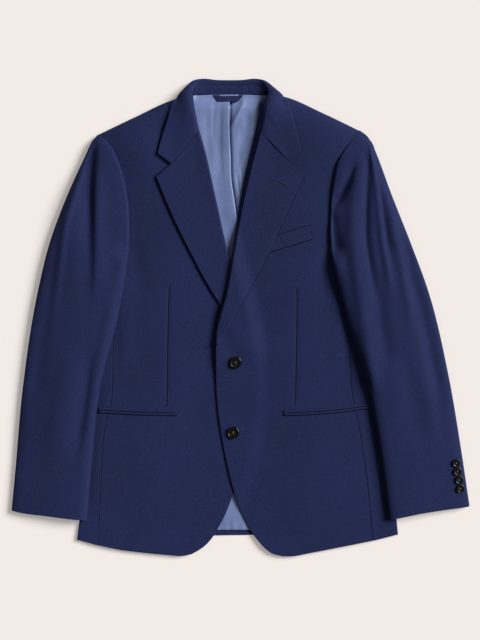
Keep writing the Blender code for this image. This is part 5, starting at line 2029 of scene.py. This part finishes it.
def plate_plan(corners: Line, u: Array, v: Array) -> Array:
    """Plan of a four-cornered piece: a patch between its straight sides.

    Args:
        corners: The four corners, in turn.
        u: Shares across, from 0 to 1.
        v: Shares along, from 0 to 1.

    Returns:
        Points in rows and columns.
    """
    a, b, c, d = corners
    top, bottom = corner_line([a, b], u), corner_line([d, c], u)
    return coons_patch(top, bottom, corner_line([a, d], v), corner_line([b, c], v), u, v)


@dataclass
class Pockets:
    """Double-jetted hip pockets, and the welt of the breast pocket."""

    finishes: Finishes
    lie: Lie = field(default_factory=Lie)
    step: float = 1.6
    jet_width: float = 4.2
    jet_swell: float = 0.35
    slit: float = 0.6
    trim: float = 0.9
    # Strength of the painted shade along each jet's outer edge, stronger under the lower jet.
    edge_shade_strengths: dict[str, float] = field(default_factory=lambda: {"upper": 0.3, "lower": 0.8})
    welt: Line = ((57, 138), (119, 157), (122, 132), (43.5, 108))
    welt_crease: Crease = Crease(
        path=((65.5, 137), (70, 127), (75, 118)), plus_x=1.6, minus_x=1.6, rise=-0.3, fade=0.1
    )

    def jets(self, side: Side) -> None:
        """The two jets of a hip pocket, each a narrow rounded fold beside the slit.

        Args:
            side: The wearer's side.
        """
        lift = self.lie.between(self.lie.wool, self.trim)
        slit = OUTLINES[side].pocket
        for label, sign in (("upper", 1), ("lower", -1)):
            path = np.asarray(slit, float) + [0, sign * (self.jet_width + self.slit) / 2]
            plan = strip_plan(path, self.jet_width, 9, 60)
            ridge = self.jet_swell * np.sin(math.pi * np.linspace(0, 1, 9))[:, None]
            outer = plan[0] if sign > 0 else plan[-1]
            # Painted shade in the slit between the jets and along each jet's outer edge.
            masks = seam_and_shade_lines(plan, [(plain(slit), 1.0), (outer, self.edge_shade_strengths[label])])
            grid = raised(plan, self.lie.body(plan, side) + lift + ridge)
            lay_cloth(f"jet_{side.value}_{label}", grid, self.trim, self.finishes.wool, masks)

    def breast_welt(self) -> None:
        """The welt: a slanting plate, sewn down at its ends, with the crease of its turned corner."""
        plan = plate_plan(self.welt, graded(60.0, self.step), graded(26.0, self.step))
        height = self.lie.body(plan, Side.LEFT) + self.lie.between(self.lie.wool, self.trim)
        # Dark lines along the top edge and the sewn right end, and painted shade along the bottom edge and in
        # the crease.
        lines = [(plan[0], 0.9), (plan[-1], 0.9), (plan[:, -1], 1.0), (plain(self.welt_crease.path), 0.5)]
        grid = raised(plan, height + self.welt_crease.height(plan))
        lay_cloth("breast_welt", grid, self.trim, self.finishes.wool, seam_and_shade_lines(plan, lines))

    def build(self) -> None:
        """Builds the jets and the welt."""
        for side in Side:
            self.jets(side)
        self.breast_welt()


@dataclass
class NeckTrim:
    """The wool tab under the collar stand, and the hanger loop on it."""

    finishes: Finishes
    panels: BodyPanels
    lie: Lie = field(default_factory=Lie)
    trim: float = 0.9
    tab: Line = ((-46, 376.5), (5, 376.5), (-4, 366), (-38, 366))
    loop: Line = ((-35, 376), (-4, 376.4))
    loop_width: float = 1.8

    def build(self) -> None:
        """Builds the tab and the loop."""
        on_lining = self.lie.between(self.lie.lining, self.trim) + self.lie.slack
        plan = plate_plan(self.tab, graded(50.0, 1.6), graded(11.0, 1.2, (0.0, 0.8, 1.6)))
        grid = raised(plan, self.panels.lining_height(plan) + on_lining)
        lay_cloth("neck_tab", grid, self.trim, self.finishes.wool)
        plan = strip_plan(self.loop, self.loop_width, 7, 26)
        height = self.panels.lining_height(plan) + on_lining + self.lie.between(self.trim, self.trim)
        lay_cloth("hanger_loop", raised(plan, height), self.trim, self.finishes.satin)


# ---- Buttons and sewing ----


@dataclass(frozen=True)
class ButtonSize:
    """Sizes of a four-hole button."""

    diameter: float
    thickness: float
    rim: float
    hole: float
    hole_spacing: float
    well: float


@dataclass(frozen=True)
class Seat:
    """Where a button lies: its middle, and the axes of its face."""

    middle: Array
    axes: Array

    def put(self, points: Array) -> Array:
        """Points of the button's own space, put in place."""
        return points @ self.axes + self.middle


def point_under(cloth: bpy.types.Object, x: float, y: float) -> Optional[Array]:
    """Point of a piece of cloth straight under a place, or nothing beside the cloth."""
    hit, found, _, _ = cloth.ray_cast(Vector((x, y, 100)) * MM, Vector((0, 0, -1)))
    return np.array(found) / MM if hit else None


def find_seat(cloth: bpy.types.Object, x: float, y: float, diameter: float, gap: float = 0.3) -> Seat:
    """Seat of a button on a piece of cloth.

    Rays down onto the cloth at two rings of places give points, whose best plane by singular
    values is moved up until it clears the highest one.

    Args:
        cloth: The piece it lies on.
        x: Its place from left to right.
        y: Its place from bottom to top.
        diameter: Its diameter.
        gap: The gap under it.

    Returns:
        The seat.
    """
    bpy.context.view_layer.update()
    touched = []
    for angle in np.linspace(0, math.tau, 16, endpoint=False):
        for reach in (0.25 * diameter, 0.5 * diameter):
            touched.append(point_under(cloth, x + reach * math.cos(angle), y + reach * math.sin(angle)))
    points = np.array([point for point in touched if point is not None])
    middle = points.mean(axis=0)
    normal = np.linalg.svd(points - middle)[2][2]
    normal = normal * np.sign(normal[2])
    level = ((points - middle) @ normal).max() + gap
    side = unit(np.cross([0.0, 1.0, 0.0], normal))
    return Seat(middle + normal * level, np.array([side, np.cross(normal, side), normal]))


def ring_faces(rings: int, sides: int) -> Array:
    """Four-cornered faces of a closed body of rings whose points follow on from one another.

    Args:
        rings: How many rings there are.
        sides: How many points each has, an even number.

    Returns:
        The faces between the rings, and those that close the first and the last one.
    """
    index = np.arange(rings * sides).reshape(rings, sides)
    turned = np.roll(index, -1, axis=1)
    faces = [np.stack([index[:-1], index[1:], turned[1:], turned[:-1]], axis=-1).reshape(-1, 4)]
    for ring in (index[0], index[-1][::-1]):
        near, far = ring[: sides // 2], ring[: sides // 2 - 1 : -1]
        faces.append(np.stack([near[:-1], near[1:], far[1:], far[:-1]], axis=1))
    return np.vstack(faces)


def tube(path: Array, radius: float, sides: int = 6) -> tuple[Array, Array]:
    """Round tube along a path, closed at both ends with a point.

    Each ring is a circle in the two directions square to the path's way, and the radius follows
    half a sine near the ends.

    Args:
        path: Points of its middle line.
        radius: Its radius.
        sides: Points of each ring.

    Returns:
        Its points and its four-cornered faces.
    """
    way = unit(np.gradient(path, axis=0))
    across = unit(np.cross(way, [0.0, 0.0, 1.0]) + 1e-9)
    up = np.cross(across, way)
    ends = np.sqrt(np.clip(np.sin(np.linspace(0.0, math.pi, len(path))) * 2.2, 0.02, 1.0))
    angle = np.linspace(0, math.tau, sides, endpoint=False)[None, :, None]
    circle = np.cos(angle) * across[:, None] + np.sin(angle) * up[:, None]
    rings = path[:, None] + radius * ends[:, None, None] * circle
    return rings.reshape(-1, 3), ring_faces(len(path), sides)


def merged(parts: Sequence[tuple[Array, Array]]) -> tuple[Array, Array]:
    """Several sets of points and faces as one.

    Args:
        parts: Points and faces of each.

    Returns:
        Their points and faces.
    """
    starts = np.cumsum([0] + [len(points) for points, _ in parts[:-1]])
    faces = [corners + start for (_, corners), start in zip(parts, starts)]
    return np.vstack([points for points, _ in parts]), np.vstack(faces)


@dataclass
class Buttons:
    """Horn buttons on the left front and the left cuff, each sewn on with crossed thread."""

    finishes: Finishes
    front_size: ButtonSize = ButtonSize(20.5, 4.0, 2.9, 2.3, 3.3, 0.46)
    cuff_size: ButtonSize = ButtonSize(14.2, 3.2, 2.0, 1.6, 2.3, 0.46)
    front_places: Line = ((-8, -76), (-12, -195))
    cuff_places: Line = ((365, -246), (367, -260.6), (370, -275), (372, -289.6))
    sides: int = 96
    hole_floor: float = 0.5
    strand_shifts: tuple[float, ...] = (-0.32, 0.0, 0.32)
    strand_radius: float = 0.22
    strand_lift: float = 0.34

    def disc(self, size: ButtonSize) -> tuple[Array, Array]:
        """A button's points and faces.

        A profile turned round its axis: the well, the rounded rim, the side and the underside.
        The well has four holes, where the height falls by a smooth step of the distance to the
        middle of the nearest hole.

        Args:
            size: Its sizes.

        Returns:
            Its points and faces.
        """
        radius, thick = size.diameter / 2, size.thickness
        well = thick * size.well
        inside = np.linspace(0.02, radius - size.rim, 44)
        rim_angle = np.linspace(math.pi, 0, 15)
        rim_r = radius - size.rim / 2 + size.rim / 2 * np.cos(rim_angle)
        base = np.linspace(well, thick * 0.55, 15)
        rim_z = base + (thick - base) * np.sin(rim_angle) ** 0.7
        under_r = np.array([radius, radius - 0.1 * size.rim, radius - 0.35 * size.rim, radius * 0.5, 0.02])
        under_z = np.array([thick * 0.3, thick * 0.1, 0.0, 0.0, 0.0])
        r = np.concatenate([inside, rim_r[1:], under_r])
        z = np.concatenate([well + 0.25 * (inside / inside[-1]) ** 4, rim_z[1:], under_z])
        turn = np.linspace(0, math.tau, self.sides, endpoint=False)
        x, y = r[:, None] * np.cos(turn), r[:, None] * np.sin(turn)
        height = np.broadcast_to(z[:, None], x.shape).copy()
        pull = np.hypot(np.abs(x) - size.hole_spacing / 2, np.abs(y) - size.hole_spacing / 2)
        pit = 1 - smoothstep((pull - size.hole * 0.36) / (size.hole * 0.2))
        height[: len(inside)] -= pit[: len(inside)] * (well - self.hole_floor)
        points = np.stack([x, y, height], axis=-1)
        return points.reshape(-1, 3), ring_faces(*points.shape[:2])

    def threads(self, size: ButtonSize) -> tuple[Array, Array]:
        """Threads crossed between the holes: three arcs of round thread on each diagonal.

        Args:
            size: The button's measures.

        Returns:
            Their points and faces.
        """
        t = np.linspace(-1, 1, 11)
        strands = []
        reach = size.hole_spacing / 2 * math.sqrt(2) + 0.2
        for turn, lift in ((math.pi / 4, 0.0), (-math.pi / 4, self.strand_lift)):
            along = np.array([math.cos(turn), math.sin(turn)])
            square = np.array([-along[1], along[0]])
            for shift in self.strand_shifts:
                plan = t[:, None] * reach * along + square * shift
                z = size.thickness * size.well + (0.42 + lift) * (1 - t**4) - 0.9 * np.abs(t) ** 8
                strands.append(tube(np.column_stack([plan, z]), self.strand_radius))
        return merged(strands)

    def sew_on(self, name: str, size: ButtonSize, cloth: bpy.types.Object, x: float, y: float) -> None:
        """Builds a button and its thread on a piece of cloth.

        Args:
            name: Node of the button.
            size: Its measures.
            cloth: What it is sewn on.
            x: Its place.
            y: Its place.
        """
        seat = find_seat(cloth, x, y, size.diameter)
        horn, thread = self.finishes.horn, self.finishes.button_thread
        for label, (points, faces), finish, nodes in (
            ("horn", self.disc(size), horn, [name]), ("thread", self.threads(size), thread, [])
        ):
            place(f"{name}_{label}", build_mesh(f"{name}_{label}", seat.put(points), faces), finish, nodes)

    def build(self, front: bpy.types.Object, sleeve: bpy.types.Object) -> None:
        """Builds the front and cuff buttons.

        Args:
            front: The front that carries two of them.
            sleeve: The sleeve that carries the others.
        """
        for label, (x, y) in zip(("upper", "lower"), self.front_places):
            self.sew_on(f"front_button_{label}", self.front_size, front, x, y)
        for number, (x, y) in enumerate(self.cuff_places, start=1):
            self.sew_on(f"cuff_button_{number}", self.cuff_size, sleeve, x, y)


@dataclass(frozen=True)
class Buttonhole:
    """A worked buttonhole: where its slit starts and ends, and the stitches round it."""

    name: str
    start: tuple[float, float]
    end: tuple[float, float]
    stitch: float = 0.75
    reach: float = 1.5
    eye: float = 1.5


@dataclass
class Stitching:
    """Worked buttonholes of the left front and lapel."""

    finishes: Finishes
    holes: tuple[Buttonhole, ...] = (
        Buttonhole("front_buttonhole_upper", start=(-26.5, -77.5), end=(-5, -76.5)),
        Buttonhole("front_buttonhole_lower", start=(11, -193), end=(-12, -194)),
    )
    lapel_hole: Buttonhole = Buttonhole("lapel_buttonhole", start=(65, 230.5), end=(82, 218.5), reach=1.35)
    stitch_lift: float = 0.05
    stitch_rise: float = 0.42
    stitch_radius: float = 0.32

    def ring(self, hole: Buttonhole) -> tuple[Array, Array]:
        """Places of the stitches round a slit and their outward directions.

        The ring runs along one side of the slit, back along the other, and round an eye at its start.

        Args:
            hole: The buttonhole.

        Returns:
            The places and the directions.
        """
        start, end = np.array(hole.start), np.array(hole.end)
        length = float(np.hypot(*(end - start)))
        along = (end - start) / length
        square = np.array([-along[1], along[0]])
        count = int(length / hole.stitch)
        spots = np.linspace(0.1, 1.0, count)[:, None] * (end - start) + start
        turn = np.linspace(0.3, 1.7, 10)[:, None] * math.pi
        round_eye = np.cos(turn) * along + np.sin(turn) * square
        places = np.vstack([spots + square * 0.5, spots - square * 0.5, start + round_eye * hole.eye * 0.5])
        outward = np.vstack([np.tile(square, (count, 1)), np.tile(-square, (count, 1)), round_eye])
        return places, outward

    def work(self, hole: Buttonhole, cloth: bpy.types.Object) -> None:
        """Builds one buttonhole: short arcs of thread standing across its edge.

        Args:
            hole: The buttonhole.
            cloth: What it is worked in.
        """
        bpy.context.view_layer.update()
        t = np.linspace(0, 1, 5)[:, None]
        stitches = []
        for spot, outward in zip(*self.ring(hole)):
            found = point_under(cloth, *spot)
            if found is not None:
                plan = spot + outward * hole.reach * t
                z = found[2] + self.stitch_lift + self.stitch_rise * np.sin(math.pi * t)
                stitches.append(tube(np.hstack([plan, z]), self.stitch_radius))
        place(hole.name, build_mesh(hole.name, *merged(stitches)), self.finishes.thread)

    def build(self, front: bpy.types.Object, lapel: bpy.types.Object) -> None:
        """Builds the buttonholes.

        Args:
            front: The front with two of them.
            lapel: The lapel with the third.
        """
        for hole in self.holes:
            self.work(hole, front)
        self.work(self.lapel_hole, lapel)


# ---- Studio ----


@dataclass
class Studio:
    """Pale floor, soft sky, a key light from the upper right, and a camera straight above."""

    finishes: Finishes
    lens: float = 85.0
    frame_height: float = 1.0845
    reference_height: float = 0.008
    middle: tuple[float, float] = (-0.0004, -0.0043)
    floor_size: float = 8.0
    floor_rows: int = 9
    key_from: tuple[float, float, float] = (1.0, 0.45, 0.72)
    key_strength: float = 4.9
    key_spread: float = 28.0
    sky: float = 0.15

    def floor(self) -> None:
        """A large sheet of floor with a few cells."""
        side = np.linspace(-self.floor_size / 2, self.floor_size / 2, self.floor_rows) / MM
        x, y = np.meshgrid(side, side)
        points = np.stack([x, y, np.zeros_like(x)], axis=-1).reshape(-1, 3)
        index = np.arange(len(points)).reshape(x.shape)
        corners = (index[:-1, :-1], index[:-1, 1:], index[1:, 1:], index[1:, :-1])
        mesh = build_mesh("studio_floor", points, np.stack(corners, axis=-1).reshape(-1, 4))
        mesh.materials.append(self.finishes.floor)
        add_object("studio_floor", mesh)

    def key(self) -> None:
        """The key light: a soft sun, shining from its direction towards the middle."""
        data = bpy.data.lights.new("key", "SUN")
        data.energy = self.key_strength
        data.angle = math.radians(self.key_spread)
        lamp = add_object("key", data)
        lamp.location = self.key_from
        lamp.rotation_euler = Vector(self.key_from).to_track_quat("Z", "Y").to_euler()

    def camera(self) -> None:
        """The camera, so high that the frame spans its height at the reference level."""
        data = bpy.data.cameras.new("camera")
        data.type = "PERSP"
        data.lens = self.lens
        data.sensor_width = 36.0
        data.clip_end = 50.0
        distance = self.frame_height * self.lens / data.sensor_width
        camera = add_object("camera", data)
        camera.location = (*self.middle, distance + self.reference_height)
        bpy.context.scene.camera = camera

    def build(self) -> None:
        """Sets up floor, lights, sky and camera."""
        self.floor()
        self.key()
        world = bpy.data.worlds.new("studio")
        world.use_nodes = True
        background = world.node_tree.nodes["Background"]
        background.inputs["Color"].default_value = (1.0, 0.985, 0.97, 1.0)
        background.inputs["Strength"].default_value = self.sky
        bpy.context.scene.world = world
        bpy.context.scene.view_settings.view_transform = "Standard"
        self.camera()


def main() -> None:
    """Builds the finishes, the studio and the blazer, piece by piece."""
    logging.basicConfig(level=logging.INFO, format="%(message)s")
    finishes = Finishes.build()
    Studio(finishes).build()
    panels = BodyPanels(finishes)
    fronts = panels.build()
    sleeves = Sleeves(finishes).build()
    Collar(finishes).build()
    Pockets(finishes).build()
    NeckTrim(finishes, panels).build()
    Buttons(finishes).build(fronts[Side.LEFT], sleeves[Side.LEFT])
    Stitching(finishes).build(fronts[Side.LEFT], bpy.data.objects["lapel_left_cloth"])


if __name__ == "__main__":
    main()
